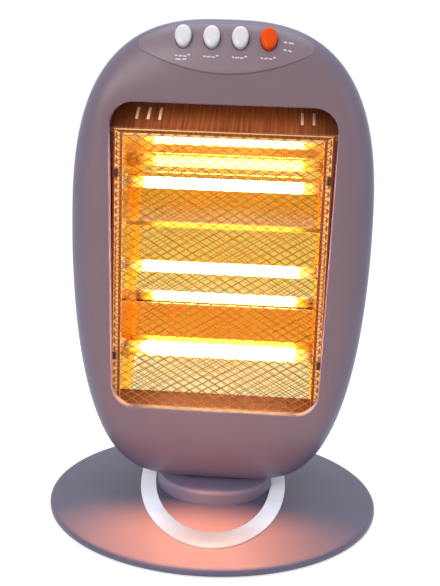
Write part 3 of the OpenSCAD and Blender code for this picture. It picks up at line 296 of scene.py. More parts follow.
def gold_sheet(name, bands, roughness, depth_mm, metallic=1.0, outside=None):
    """Anodised sheet, tinted along Z partly by heat and partly by painted lamp glow; beyond |x| = outside,
    painted shade.
    """
    material, tree = new_material(name)
    place = add(tree, "ShaderNodeTexCoord").outputs["Object"]
    parts = add(tree, "ShaderNodeSeparateXYZ", {"Vector": place})
    across, up = parts.outputs["X"], parts.outputs["Z"]
    low, high = bands[0][0], bands[-1][0]
    share = add(tree, "ShaderNodeMapRange", {"Value": up}, From_Min=low * MM, From_Max=high * MM)
    colour = add(tree, "ShaderNodeValToRGB", {"Fac": share})
    stops = colour.color_ramp.elements
    for k, (z, tint) in enumerate(bands):
        at = (z - low) / (high - low)
        stop = stops[0] if k == 0 else stops[-1] if k == len(bands) - 1 else stops.new(at)
        stop.position, stop.color = at, linear(tint)
    # Beyond |x| = outside the colour is a painted shade.
    if outside:
        far = add(tree, "ShaderNodeMath", {0: across}, operation="ABSOLUTE")
        beyond = add(tree, "ShaderNodeMath", {0: far}, operation="GREATER_THAN", i1=outside * MM)
        colour = add(tree, "ShaderNodeMix", {"Factor": beyond, 6: colour}, data_type="RGBA",
                     i7=linear(PAINTED_FLANGE_SHADE))
    waves = []
    for sign in (1, -1):
        steepness = (2 * math.pi / (EMBOSS_W * MM), 0, sign * 2 * math.pi / (EMBOSS_H * MM))
        phase = add(tree, "ShaderNodeVectorMath", {0: place}, operation="DOT_PRODUCT", i1=steepness)
        waves.append(add(tree, "ShaderNodeMath", {0: phase}, operation="SINE"))
    relief = add(tree, "ShaderNodeMath", {0: waves[0], 1: waves[1]}, operation="ADD")
    fading = add(tree, "ShaderNodeMapRange", {"Value": up}, From_Min=PLAIN_FROM * MM, From_Max=PLAIN_TO * MM,
                 To_Min=1.0, To_Max=PLAIN_SHARE)
    height = add(tree, "ShaderNodeMath", {0: relief, 1: fading}, operation="MULTIPLY")
    bump = add(tree, "ShaderNodeBump", {"Height": height}, Strength=1.0, Distance=depth_mm * MM)
    rolling = add(tree, "ShaderNodeMapping", {"Vector": place},
                  Scale=tuple(1000 / s for s in ROLLING_LINES_MM))
    lines = add(tree, "ShaderNodeTexNoise", {"Vector": rolling}, Scale=1.0, Detail=3.0)
    gloss = add(tree, "ShaderNodeMapRange", {"Value": lines}, To_Min=roughness - 0.01,
                To_Max=roughness + 0.02)
    ridge = add(tree, "ShaderNodeMath", {0: up}, operation="COMPARE", i1=RIDGE_Z * MM, i2=RIDGE_HALF * MM)
    dulled = add(tree, "ShaderNodeMath", {0: ridge, 2: gloss}, operation="MULTIPLY_ADD", i1=RIDGE_DULLING)
    bare = add(tree, "ShaderNodeMapRange", {"Value": up}, From_Min=OXIDE_FROM * MM, From_Max=OXIDE_TO * MM,
               To_Min=metallic, To_Max=metallic * OXIDE_SHARE)
    shader = add(tree, "ShaderNodeBsdfPrincipled",
                 {"Base Color": colour, "Roughness": dulled, "Normal": bump, "Metallic": bare})
    add(tree, "ShaderNodeOutputMaterial", {"Surface": shader})
    return material


GOLD_SHEET = gold_sheet("aluminium_gold_anodised_embossed", HEAT_AND_GLOW_BANDS, 0.03, 0.0012)
GOLD_SATIN = gold_sheet("aluminium_champagne_anodised_satin", SATIN_BANDS, 0.14, 0.004, 0.9, 92)
print("heat bands:", len(HEAT_AND_GLOW_BANDS))

# %% [markdown]
# ## Glowing quartz and tungsten
# A lamp is a coil in a quartz tube. Where the coil glows, a camera sees the whole tube as a white bar;
# towards both ends the glow turns yellow and dies out. A bright coil alone would need a glare effect to
# look so, and there is none here, so the tube's own material follows that along X: emission in the middle,
# clear quartz at its ends.

# %% Glowing quartz and coil
GLOW_HALF_MM = 69.5                    # half length of the glowing coil
CORE_BLEND_MM = 3                      # the white core ends this softly, to each side
FRINGE_IN_MM, FRINGE_OUT_MM = 2, 16    # the fringe dies out from 2 mm inside the coil's end to 16 mm outside
CORE_GLOW, FRINGE_GLOW, COIL_GLOW_LEVEL = 5.0, 1.2, 60.0


def glowing_quartz(name):
    material, tree = new_material(name)
    place = add(tree, "ShaderNodeTexCoord").outputs["Object"]
    across = add(tree, "ShaderNodeSeparateXYZ", {"Vector": place}).outputs["X"]
    along = add(tree, "ShaderNodeMath", {0: across}, operation="ABSOLUTE")
    core = add(tree, "ShaderNodeMapRange", {"Value": along}, interpolation_type="SMOOTHSTEP",
               From_Min=(GLOW_HALF_MM - CORE_BLEND_MM) * MM, From_Max=(GLOW_HALF_MM + CORE_BLEND_MM) * MM,
               To_Min=1.0, To_Max=0.0)
    fringe = add(tree, "ShaderNodeMapRange", {"Value": along}, interpolation_type="SMOOTHSTEP",
                 From_Min=(GLOW_HALF_MM - FRINGE_IN_MM) * MM, From_Max=(GLOW_HALF_MM + FRINGE_OUT_MM) * MM,
                 To_Min=1.0, To_Max=0.0)
    tint = add(tree, "ShaderNodeMix", {"Factor": core}, data_type="RGBA", i6=linear("#FFA83A"),
               i7=linear("#FFD8A8"))
    power = add(tree, "ShaderNodeMath", {0: core}, operation="MULTIPLY_ADD", i1=CORE_GLOW - FRINGE_GLOW,
                i2=FRINGE_GLOW)
    level = add(tree, "ShaderNodeMath", {0: power, 1: fringe}, operation="MULTIPLY")
    shader = add(tree, "ShaderNodeBsdfPrincipled", {"Emission Color": tint, "Emission Strength": level},
                 Base_Color=linear("#F6F2EA"), Roughness=0.05, IOR=1.46, Transmission_Weight=1.0)
    add(tree, "ShaderNodeOutputMaterial", {"Surface": shader})
    return material


QUARTZ_GLOW = glowing_quartz("quartz_tube_lit")
COIL_GLOW, coil_nodes = new_material("tungsten_coil_glowing")
coil_light = add(coil_nodes, "ShaderNodeEmission", Color=linear("#FFE2B0"), Strength=COIL_GLOW_LEVEL)
add(coil_nodes, "ShaderNodeOutputMaterial", {"Surface": coil_light})
print("glow half length in mm:", GLOW_HALF_MM)

# %% [markdown]
# ## Glossy buttons
# The push buttons are ABS from a polished mould. A low roughness alone would do, but the white ones shine
# as if they were lacquered, so they get a thin clear coat; the orange one has none. A ripple 9 mm wide and
# 0.02 mm high keeps their highlights from being perfect.

# %% Glossy plastic
RIPPLE_MM, RIPPLE_HIGH_MM = 9, 0.02


def glossy_plastic(name, hex_colour, hex_shade, roughness=0.2, coat=0.35):
    material, tree = new_material(name)
    place = add(tree, "ShaderNodeTexCoord").outputs["Object"]
    cloud = add(tree, "ShaderNodeTexNoise", {"Vector": place}, Scale=1000 / RIPPLE_MM, Detail=2.0)
    colour = add(tree, "ShaderNodeMix", {"Factor": cloud}, data_type="RGBA", i6=linear(hex_colour),
                 i7=linear(hex_shade))
    ripple = add(tree, "ShaderNodeBump", {"Height": cloud}, Strength=1.0, Distance=RIPPLE_HIGH_MM * MM)
    shader = add(tree, "ShaderNodeBsdfPrincipled", {"Base Color": colour, "Normal": ripple},
                 Roughness=roughness, IOR=1.49, Coat_Weight=coat, Coat_Roughness=0.08,
                 Specular_IOR_Level=coat + 0.15)
    add(tree, "ShaderNodeOutputMaterial", {"Surface": shader})
    return material


BUTTON_WHITE = glossy_plastic("abs_gloss_white", "#E6E0E2", "#DAD3D6")
BUTTON_ORANGE = glossy_plastic("abs_gloss_orange", "#F25200", "#E84800", roughness=0.28, coat=0.0)
print("button finishes:", BUTTON_WHITE.name, BUTTON_ORANGE.name)

# %% [markdown]
# ## Making a mesh
# Most of the heater's shells follow a rule, so their meshes are computed, in millimetres, and turned to
# metres once. `skin` lays faces over rings of points that follow each other, as a maker lays cloth over
# hoops. Modelling by hand would work too, but with rings every size stays a number that can be changed.
# Smooth shading is split at real edges, so a bend stays crisp.

# %% Rings and skins
SHARP_DEG = 32


def round_angles(n):
    """n angles, evenly spread over a full turn."""
    return np.linspace(0, 2 * math.pi, n, endpoint=False)


def skin(rings, loop=False, cap_first=False, cap_last=False):
    """Faces over closed rings of equal length. loop joins the last ring to the first; caps are fans."""
    rings = [np.asarray(r, float) for r in rings]
    n, m = len(rings[0]), len(rings)
    points = [tuple(p) for r in rings for p in r]
    faces = [(j * n + i, j * n + (i + 1) % n, (j + 1) % m * n + (i + 1) % n, (j + 1) % m * n + i)
             for j in range(m if loop else m - 1) for i in range(n)]
    for wanted, ring, start in ((cap_first, rings[0], 0), (cap_last, rings[-1], (m - 1) * n)):
        if wanted:
            points.append(tuple(ring.mean(axis=0)))
            faces += [(start + i, start + (i + 1) % n, len(points) - 1) for i in range(n)]
    return points, faces


def raw_object(name, points, faces, material=None, sharp_deg=SHARP_DEG):
    mesh = bpy.data.meshes.new(name)
    mesh.from_pydata([tuple(c * MM for c in p) for p in points], [], faces)
    work = bmesh.new()
    work.from_mesh(mesh)
    bmesh.ops.remove_doubles(work, verts=work.verts, dist=1e-7)
    bmesh.ops.recalc_face_normals(work, faces=work.faces)
    work.to_mesh(mesh)
    work.free()
    mesh.shade_smooth()
    mesh.set_sharp_from_angle(angle=math.radians(sharp_deg))
    if material:
        mesh.materials.append(material)
    item = bpy.data.objects.new(name, mesh)
    bpy.context.scene.collection.objects.link(item)
    return item


print("edges sharper than", SHARP_DEG, "degrees stay crisp")

# %% [markdown]
# ## Simple solids and cuts
# Round mouldings are turned from a profile, as on a lathe. Slots and holes are cut with blocks and rods, as
# a tool would cut them. A Boolean modifier does that, and its result is kept as a plain mesh, so that the
# cutter can go.

# %% Simple solids and cuts
def join(parts):
    """Joins lists of (points, faces) into one."""
    points, faces = [], []
    for p, f in parts:
        faces += [tuple(i + len(points) for i in face) for face in f]
        points += list(p)
    return points, faces


def lathe(profile, segments, centre=(0.0, 0.0)):
    """Turns (radius, height) pairs about an upright axis. A profile that starts at the axis closes there."""
    rings = [[(centre[0] + r * math.cos(a), centre[1] + r * math.sin(a), z) for a in round_angles(segments)]
             for r, z in profile]
    return skin(rings, loop=profile[0][0] > 0)


def block(low, high):
    x0, y0, z0 = low
    x1, y1, z1 = high
    points = [(x, y, z) for z in (z0, z1) for x, y in ((x0, y0), (x1, y0), (x1, y1), (x0, y1))]
    return points, [(0, 3, 2, 1), (4, 5, 6, 7), (0, 1, 5, 4), (1, 2, 6, 5), (2, 3, 7, 6), (3, 0, 4, 7)]


def rod(start, end, radius, segments=32):
    """Closed rod between two points."""
    start, end = Vector(start), Vector(end)
    turn = (end - start).to_track_quat("Z", "Y").to_matrix()
    rings = [[tuple(centre + turn @ Vector((radius * math.cos(a), radius * math.sin(a), 0)))
              for a in round_angles(segments)] for centre in (start, end)]
    return skin(rings, cap_first=True, cap_last=True)


def cut_with(item, cutter):
    """Cuts one closed mesh with another and leaves a plain mesh."""
    step = item.modifiers.new("cut", "BOOLEAN")
    step.object, step.operation, step.solver = cutter, "DIFFERENCE", "EXACT"
    result = bpy.data.meshes.new_from_object(item.evaluated_get(bpy.context.evaluated_depsgraph_get()))
    item.modifiers.clear()
    item.data = result
    item.data.shade_smooth()
    item.data.set_sharp_from_angle(angle=math.radians(SHARP_DEG))
    bpy.data.objects.remove(cutter)
    return item


print("helpers ready: join, lathe, block, rod, cut_with")

# %% [markdown]
# ## Handing a piece to the frame
# A real heater's shells move with what they are screwed to. Each piece made here therefore rides on one
# body of the frame, and may stand in for coarser CAD nodes, which are then hidden.

# %% Settling a piece
def settle(item, body, replaces=()):
    """Puts a finished piece on its body and hides the CAD nodes that it stands for."""
    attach(item, body)
    if replaces:
        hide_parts(*replaces)


# %% [markdown]
# ## The egg and the window
# One rule gives the head's outline: a superellipse, fuller above its widest line than a true ellipse,
# narrowed towards its foot. The window is a rounded rectangle, slightly wider at its top. The front skin
# runs between the two. A curve drawn by hand would do, but the rule is the CAD source's own, so the finer
# piece fits the solids; it only has more points, so that edges look round.

# %% Outlines of the head
EGG_HALF, EGG_Z, EGG_TOP, EGG_LOW = 131.0, 255.0, 180.0, 227.5    # half width, widest line, reach up and down
POWER_TOP, POWER_LOW, NARROWING = 2.77, 5.0, 0.23    # fullness above and below, and how far the foot draws in
LIP_Y, SEAM_Y, BACK_Y, AXIS_Y = -30.0, -8.0, 72.0, 22.0
WIN_W, WIN_H, WIN_Z, WIN_R, WIN_TAPER = 188.3, 268.4, 231.4, 20.6, 0.055
WALL, FLANGE_Y = 2.5, -21.5
CORNER_N, EDGE_N = 12, 28              # points on each corner and on each edge of the window


def egg_radius(angle):
    power, reach = (POWER_TOP, EGG_TOP) if math.sin(angle) >= 0 else (POWER_LOW, EGG_LOW)
    across, up = abs(math.cos(angle)) / EGG_HALF, abs(math.sin(angle)) / reach
    return (across ** power + up ** power) ** (-1 / power)


def egg_point(angle):
    r = egg_radius(angle)
    x, z = r * math.cos(angle), r * math.sin(angle)
    return np.array([x * (1 - NARROWING * (z / EGG_LOW) ** 2 if z < 0 else 1), EGG_Z + z])


def window_ring(grow):
    """The window's outline, moved outwards by grow: four round corners, joined by straight edges."""
    hw, hh, r = WIN_W / 2 + grow, WIN_H / 2 + grow, WIN_R + grow
    arcs = []
    for q, (sx, sz) in enumerate(((1, 1), (-1, 1), (-1, -1), (1, -1))):
        corner = np.array([sx * (hw - r), sz * (hh - r)])
        arcs.append([corner + r * np.array([math.cos(a), math.sin(a)])
                     for a in np.linspace(q * math.pi / 2, (q + 1) * math.pi / 2, CORNER_N + 1)])
    points = []
    for arc, following in zip(arcs, arcs[1:] + arcs[:1]):
        points += arc + [arc[-1] + (following[0] - arc[-1]) * i / EDGE_N for i in range(1, EDGE_N)]
    return np.array([[x * (1 + WIN_TAPER * z / WIN_H), z + WIN_Z] for x, z in points])


lip_ring = window_ring(0)
edge_ring = np.array([egg_point(math.atan2(z - EGG_Z, x)) for x, z in lip_ring])
spokes = edge_ring - lip_ring
unit_spokes = spokes / np.linalg.norm(spokes, axis=1)[:, None]
print("points round the head:", len(edge_ring), "| top of the egg:", round(edge_ring[:, 1].max(), 1))

# %% [markdown]
# ## Depth of the front face
# Between the window's lip and the seam the face swells gently and then rolls back. Its depth depends only
# on the share of the way from lip to edge, so one curve, turned round the head, gives the whole face, and
# the control panel can ask for the depth at any point.

# %% Rings at a depth
FACE_POWER, FACE_ROOT, SWELL = 2.6, 2.2, 1.0


def at_depth(flat, y):
    return [(x, y, z) for x, z in flat]


def front_y(s):
    """Depth of the face; s runs from 0 at the lip to 1 at the seam."""
    roll = (1 - s ** FACE_POWER) ** (1 / FACE_ROOT)
    return SEAM_Y - (SEAM_Y - LIP_Y) * roll - SWELL * math.sin(math.pi * s)


def front_ring(s, back=0.0):
    return at_depth(lip_ring + spokes * s, front_y(s) + back)


def edge_in(d, y):
    """The head's edge, drawn inwards by d."""
    return at_depth(edge_ring - unit_spokes * d, y)


def shell_y(x, z):
    """Depth of the front skin at a point above the window."""
    angle = math.atan2(z - EGG_Z, x)
    inner = (WIN_Z + WIN_H / 2 - EGG_Z) / math.sin(angle)
    s = (math.hypot(x, z - EGG_Z) - inner) / (egg_radius(angle) - inner)
    return front_y(min(0.999, max(0.0, s)))


print("face depth at the lip and halfway:", front_y(0), round(front_y(0.5), 1))

# %% [markdown]
# ## Outline of the control panel
# The panel is a crescent: its lower edge is a shallow parabola, its upper edge follows the egg 3.5 mm
# inside it. The front shell's opening and the panel's cover are both drawn from these two edges, so they
# fit.

# %% Control panel outline
PANEL_HALF, PANEL_TOP_HALF, PANEL_LOW, PANEL_END = 72.0, 74.0, 390.5, 409.0
PANEL_FROM_EDGE, PANEL_GAP = 3.5, 0.1


def panel_low_point(u, inset=0.0):
    return np.array([u * (PANEL_HALF - inset), PANEL_LOW + (PANEL_END - PANEL_LOW) * u * u + inset])


def panel_high_point(u, inset=0.0):
    x = u * PANEL_TOP_HALF
    z = EGG_Z + EGG_TOP * (1 - (abs(x) / EGG_HALF) ** POWER_TOP) ** (1 / POWER_TOP) - PANEL_FROM_EDGE
    return np.array([u * (PANEL_TOP_HALF - inset), z - inset])


opening_us = np.linspace(-1, 1, 49)
panel_opening = [panel_low_point(u) for u in opening_us] + [panel_high_point(u) for u in opening_us[::-1]]
print("panel from z", PANEL_LOW, "to", round(panel_high_point(0)[1], 1))

# %% [markdown]
# ## Front shell
# The real shell is one moulding: a flange around the window, a rounded lip, a gently swelling face and a
# rolled edge that ends at the seam. A surface with a Solidify modifier could stand for it, but its wall
# would be even everywhere. A loop of rings that runs round the wall's section, outside and back inside,
# makes it one closed body with its real edges. The control panel's place is then cut out with a prism.

# %% Front shell
FACE_STEPS = [0.02, 0.05, 0.09, 0.14, 0.2, 0.26, 0.33, 0.4, 0.47, 0.54, 0.61, 0.67, 0.73, 0.78, 0.83, 0.87,
              0.905, 0.935, 0.958, 0.975, 0.987, 0.995]


def prism(outline, y0, y1):
    """Closed prism over an outline of [x, z] points."""
    return skin([at_depth(outline, y0), at_depth(outline, y1)], cap_first=True, cap_last=True)


lip_rings = [at_depth(window_ring(out), y) for out, y in (
    (0, FLANGE_Y), (0, LIP_Y + 1.6), (0.12, LIP_Y + 0.95), (0.45, LIP_Y + 0.4), (0.95, LIP_Y + 0.1))]
face_rings = [front_ring(s) for s in FACE_STEPS]
seam_rings = [edge_in(d, y) for d, y in (
    (0, SEAM_Y - 1.6), (0, SEAM_Y - 0.35), (0.35, SEAM_Y), (WALL, SEAM_Y), (WALL + 0.3, SEAM_Y - 4))]
inner_rings = [front_ring(s, WALL) for s in FACE_STEPS[-4:1:-2]]
inner_rings += [at_depth(window_ring(out), y) for out, y in (
    (WALL + 1, LIP_Y + WALL), (WALL, LIP_Y + WALL + 1), (WALL, FLANGE_Y))]
front_shell = raw_object("front_shell_skin",
                         *skin(lip_rings + face_rings + seam_rings + inner_rings, loop=True), ABS_GREY)
opening_cutter = raw_object("panel_cutter", *prism(panel_opening, -60, SEAM_Y - 1))
settle(cut_with(front_shell, opening_cutter), "head", ["front_shell"])
print("front shell faces:", len(front_shell.data.polygons))

# %% [markdown]
# ## Rear shell
# The back is a deep moulding that draws in towards a flat rear. It is made as the front shell is: rings run
# round the wall's section, from the seam over the outside to the middle of the rear, and back on the
# inside.

# %% Rear shell
BACK_Z, BACK_SHARE, BACK_POWER = 240.0, 0.62, 2.6    # the rear's middle, share of the outline, fullness
DEPTH_STEPS = [0.04, 0.1, 0.18, 0.26, 0.34, 0.42, 0.5, 0.57, 0.64, 0.7, 0.76, 0.81, 0.855, 0.893, 0.925, 0.95,
               0.97, 0.985, 0.995, 1.0]
FLAT_STEPS = (0.8, 0.5, 0.2)


def back_ring(v, wall=0.0):
    """Ring of the rear shell; v runs from 0 at the seam to 1 at the rear, wall moves it inwards."""
    s = BACK_SHARE + (1 - BACK_SHARE) * (1 - v ** BACK_POWER) ** (1 / BACK_POWER)
    flat = edge_ring - np.array([0, BACK_Z])
    flat = flat * s - flat / np.linalg.norm(flat, axis=1)[:, None] * wall
    return at_depth(flat + np.array([0, BACK_Z]), SEAM_Y + (BACK_Y - wall - SEAM_Y) * v)


def rear_flat_ring(share, y):
    middle = np.array([0, BACK_Z])
    return at_depth((edge_ring - middle) * (BACK_SHARE * share) + middle, y)


outer = [edge_in(WALL + 0.5, SEAM_Y + 0.3), edge_in(0.8, SEAM_Y + 0.1), edge_in(0.4, SEAM_Y + 0.4)]
outer += [back_ring(v) for v in DEPTH_STEPS]
outer += [rear_flat_ring(share, BACK_Y) for share in FLAT_STEPS + (0,)]
inner = [rear_flat_ring(share, BACK_Y - WALL) for share in (0,) + FLAT_STEPS[::-1]]
inner += [back_ring(v, WALL) for v in DEPTH_STEPS[::-2]]
rear_shell = raw_object("rear_shell_skin", *skin(outer + inner, loop=True), ABS_GREY)
print("rear shell rings:", len(outer) + len(inner))

# %% [markdown]
# ## Vent slots
# The heater draws its cooling air through two fields of slots at the back. In the real mould they are plain
# bars of steel; here blocks in rows and columns cut them, all in one Boolean, since every Boolean costs
# time.

# %% Vent slots
SLOT_FIELDS = ((EGG_Z + 7, 9), (EGG_Z - 127, 5))     # height of the lowest slot, and rows
SLOT_COLUMN, SLOT_W, SLOT_H, SLOT_PITCH = 46, 38, 4, 9
bars = []
for column in (-1, 0, 1):
    for low_z, rows in SLOT_FIELDS:
        for row in range(rows):
            x0, z0 = column * SLOT_COLUMN - SLOT_W / 2, low_z + row * SLOT_PITCH
            bars.append(block((x0, BACK_Y - 12, z0), (x0 + SLOT_W, BACK_Y + 1, z0 + SLOT_H)))
cut_with(rear_shell, raw_object("slot_cutter", *join(bars)))
print("vent slots:", len(bars))

# %% [markdown]
# ## Screw wells, gland hole and neck hole
# Six deep wells in the back lead to the screws that hold both shells together. Inside, each well ends in a
# column with the screw's seat. Rods cut the wells, the hole for the cord gland and the round hole for the
# neck.

# %% Screw wells and holes
COLUMN_ANGLES = (52, 128, -8, 188, -60, 240)
COLUMN_INSET, COLUMN_R, COLUMN_END = 14, 5, SEAM_Y + 30    # from the head's edge, radius, rear end
WELL_R, SCREW_HOLE_R, SCREW_SEAT = 3.4, 1.6, SEAM_Y + 14
GLAND_Z, GLAND_R = 84.0, 6.5
NECK_LOW, NECK_TOP, NECK_R = 20, 53.5, 27.1


def column_point(angle_deg):
    point = egg_point(math.radians(angle_deg))
    ray = point - np.array([0, EGG_Z])
    return point - ray / np.linalg.norm(ray) * COLUMN_INSET


wells = [rod((x, SCREW_SEAT, z), (x, BACK_Y + 1, z), WELL_R) for x, z in map(column_point, COLUMN_ANGLES)]
cut_with(rear_shell, raw_object("well_cutter", *join(wells)))
gland_rod = rod((0, BACK_Y - 10, GLAND_Z), (0, BACK_Y + 1, GLAND_Z), GLAND_R, 48)
cut_with(rear_shell, raw_object("gland_cutter", *gland_rod))
neck_rod = rod((0, AXIS_Y, NECK_LOW), (0, AXIS_Y, NECK_TOP), NECK_R, 96)
cut_with(rear_shell, raw_object("neck_cutter", *neck_rod))

COLUMN_SECTION = ((SEAM_Y + 0.1, SCREW_HOLE_R), (SEAM_Y + 0.1, COLUMN_R), (COLUMN_END, COLUMN_R),
                  (COLUMN_END, WELL_R), (SCREW_SEAT, WELL_R), (SCREW_SEAT, SCREW_HOLE_R))
columns = [skin([[(x + r * math.cos(a), y, z + r * math.sin(a)) for a in round_angles(32)]
                 for y, r in COLUMN_SECTION], loop=True) for x, z in map(column_point, COLUMN_ANGLES)]
screw_columns = raw_object("rear_shell_screw_columns", *join(columns), ABS_GREY)
settle(screw_columns, "head")
settle(rear_shell, "head", ["rear_shell"])
print("rear shell faces:", len(rear_shell.data.polygons), "| screw wells:", len(wells))

# %% [markdown]
# ## Control panel
# The crescent at the head's top is a separate cover that follows the shell. Its lower edge stands 2.2 mm
# proud with a rounded rim, which casts the soft shadow line that makes it readable; towards its ends and
# its top it sinks almost flush. A bevelled plate would stay flat, so a grid of points is lifted off the
# shell's own depth instead.

# %% Control panel
PANEL_PROUD, PANEL_TOP_PROUD, PANEL_DEEP, RIM_SHARE = 2.2, 0.3, 2.4, 0.045
PANEL_US = np.linspace(-1, 1, 73)
PANEL_VS = [0, 0.008, 0.02, 0.035, 0.06, 0.1, 0.16, 0.23, 0.31, 0.4, 0.5, 0.6, 0.7, 0.79, 0.87, 0.94, 0.98,
            1.0]


def panel_lift(u, v):
    """How far the panel stands off the shell; u runs along it, v from its lower to its upper edge."""
    ends = 1 - abs(u) ** 2.5 * 0.9
    rim = min(1.0, v / RIM_SHARE)
    round_rim = math.sqrt(max(0.0, 1 - (1 - rim) ** 2))
    return (PANEL_PROUD * (1 - v) ** 1.3 * ends + PANEL_TOP_PROUD * v) * round_rim


front, back = [], []
for v in PANEL_VS:
    for u in PANEL_US:
        x, z = panel_low_point(u, PANEL_GAP) * (1 - v) + panel_high_point(u, PANEL_GAP) * v
        y = shell_y(x, z)
        front.append((x, y - panel_lift(u, v), z))
        back.append((x, y + PANEL_DEEP, z))
nu, nv = len(PANEL_US), len(PANEL_VS)
faces = [(j * nu + i, j * nu + i + 1, (j + 1) * nu + i + 1, (j + 1) * nu + i)
         for j in range(nv - 1) for i in range(nu - 1)]
shift = nu * nv
faces += [tuple(shift + k for k in face[::-1]) for face in faces]
border = list(range(nu)) + [j * nu + nu - 1 for j in range(1, nv)] \
    + [(nv - 1) * nu + i for i in range(nu - 2, -1, -1)] + [j * nu for j in range(nv - 2, 0, -1)]
faces += [(here, after, shift + after, shift + here) for here, after in zip(border, border[1:] + border[:1])]
panel = raw_object("control_panel_cover", front + back, faces, ABS_PANEL, sharp_deg=40)
print("panel grid:", nu, "by", nv)

# %% [markdown]
# ## Button wells
# Four oval openings let the buttons through, in a row at even pitch. Each follows its button's outline with
# a gap of 0.45 mm, and each has its own frame, leaned back like the panel there, which the button will use
# too.

# %% Button wells
BUTTON_Z, BUTTON_PITCH, LEAN, BUTTON_SINK = 419.4, 23.5, math.radians(25), 1.2
BUTTON_W, BUTTON_L, WELL_GAP = 13.8, 18.6, 0.45


def button_place(i):
    """Frame of button i: its axis is local Y, which points into the panel."""
    x = (i - 1.5) * BUTTON_PITCH
    at = (x, shell_y(x, BUTTON_Z) - BUTTON_SINK, BUTTON_Z)
    return Matrix.Translation(at) @ Matrix.Rotation(-LEAN, 4, "X")


def placed(points, matrix):
    return [tuple(matrix @ Vector(p)) for p in points]


def oval(inset, y):
    """Ring of a button: an oval that is a little narrower at its foot."""
    ring = []
    for a in round_angles(48):
        z = (BUTTON_L / 2 - inset) * math.sin(a)
        x = (BUTTON_W / 2 - inset) * math.cos(a) * (1 + 0.05 * math.sin(a))
        ring.append((x, y, z))
    return ring


openings = []
for i in range(4):
    points, opening_faces = skin([oval(-WELL_GAP, -9), oval(-WELL_GAP, 9)], cap_first=True, cap_last=True)
    openings.append((placed(points, button_place(i)), opening_faces))
cut_with(panel, raw_object("button_cutter", *join(openings)))
settle(panel, "head", ["control_panel"])
print("panel faces:", len(panel.data.polygons))

# %% [markdown]
# ## Push buttons
# Four domed oval caps stand out of the panel, each on a stem that ends at its switch. A ball pressed flat
# would be too thin at its edge; a quarter superellipse gives the full, soft dome. Each rides on its own
# body, because it slides 3 mm along its axis.

# %% Push buttons
BUTTON_H, DOME_H, CAP_IN, STEM_END = 6.5, 3.0, 1.5, 7.4
dome = [(BUTTON_W / 2 * (1 - math.cos(t) ** 0.62), DOME_H - BUTTON_H - DOME_H * math.sin(t) ** 0.9)
        for t in np.linspace(0, math.pi / 2 * 0.97, 12)]
levels = [oval(1.2, CAP_IN), oval(0.25, CAP_IN), oval(0, CAP_IN - 0.3)]
levels += [oval(min(inset, 5.9), y) for inset, y in dome]
stem = [[(r * math.cos(a), y, r * math.sin(a)) for a in round_angles(24)]
        for r, y in ((2.5, CAP_IN - 0.3), (2.5, STEM_END), (2.2, STEM_END + 0.3))]
cap_points, cap_faces = join([skin(rings, cap_first=True, cap_last=True) for rings in (levels, stem)])
for i, (finish, slot) in enumerate([(BUTTON_WHITE, "button_white")] * 3 + [(BUTTON_ORANGE, "button_orange")]):
    button = raw_object(f"button_cap_{i + 1}", placed(cap_points, button_place(i)), cap_faces, finish,
                        sharp_deg=50)
    settle(button, f"button_{i + 1}", [f"button_{i + 1}"])
print("button caps: 4, size in mm:", BUTTON_W, BUTTON_L)

# %% [markdown]
# ## Marks at the buttons
# Small pale pad prints tell the settings apart. They are plain generic strokes and dots. An image texture
# could show them, but they are so few that thin flat bars do, laid 0.08 mm above the panel: a row under
# each button, two strokes lower down at the left, and two short lines to the right of the last button.

# %% Marks
PRINT_WHITE = satin_plastic("ink_pad_printed_white", "#E6DFE6", "#D2CAD4", roughness=0.5, grain_mm=0.8,
                            depth_mm=0.0)
MARK_HALF, MARK_PROUD, MARK_ROW_Z = 0.55, 0.08, 405.2
ROW_STROKES = ((-6.2, 2.0, -0.5, -0.3), (-3.4, 3.2, -1.0, 0.3), (0.6, 2.6, -0.9, -0.3), (4.0, 2.2, 0.0, 0.3))
LEFT_STROKES = ((-41.0, -36.5, 401.6, 401.4), (-35.4, -31.8, 401.5, 401.9))
RIGHT_STROKES = ((47.5, 50.0, 418.0, 417.6), (51.4, 55.6, 417.5, 416.8),
                 (47.5, 50.0, 411.8, 411.4), (51.4, 54.1, 411.3, 410.6))


def panel_surface(x, z):
    """Depth of the panel's face at x, z; the share v is found by trying again from the last guess."""
    v = 0.5
    for _ in range(12):
        half = PANEL_HALF * (1 - v) + PANEL_TOP_HALF * v
        u = x / half
        low, high = panel_low_point(u, PANEL_GAP)[1], panel_high_point(u, PANEL_GAP)[1]
        v = min(0.98, max(0.05, (z - low) / (high - low)))
    return shell_y(x, z) - panel_lift(u, v)


def printed_bar(x0, x1, z0, z1, n=6):
    """A thin printed stroke on the panel."""
    top, low = [], []
    for t in np.linspace(0, 1, n):
        x, z = x0 + (x1 - x0) * t, z0 + (z1 - z0) * t
        for half, ring in ((MARK_HALF, top), (-MARK_HALF, low)):
            ring.append((x, panel_surface(x, z + half) - MARK_PROUD, z + half))
    return top + low, [(i, i + 1, n + i + 1, n + i) for i in range(n - 1)]


strokes = []
for i in range(4):
    x = (i - 1.5) * BUTTON_PITCH
    for start, width, drop, slant in ROW_STROKES:
        z = MARK_ROW_Z + drop
        strokes.append(printed_bar(x + start, x + start + width, z, z + slant))
strokes += [printed_bar(*stroke) for stroke in LEFT_STROKES + RIGHT_STROKES]
marks = raw_object("panel_marks", *join(strokes), PRINT_WHITE)
settle(marks, "head")
print("printed strokes:", len(strokes))

# %% [markdown]
# ## Base and collar
# The base is a shallow round moulding with a flat deck, a slope to the rim and a rounded edge. The collar
# on it has a rolled shoulder that catches the light. Both are round, so a profile turned as on a lathe
# makes them; a cylinder with a bevel would lose the deck's slow slope, which shows in its reflections.

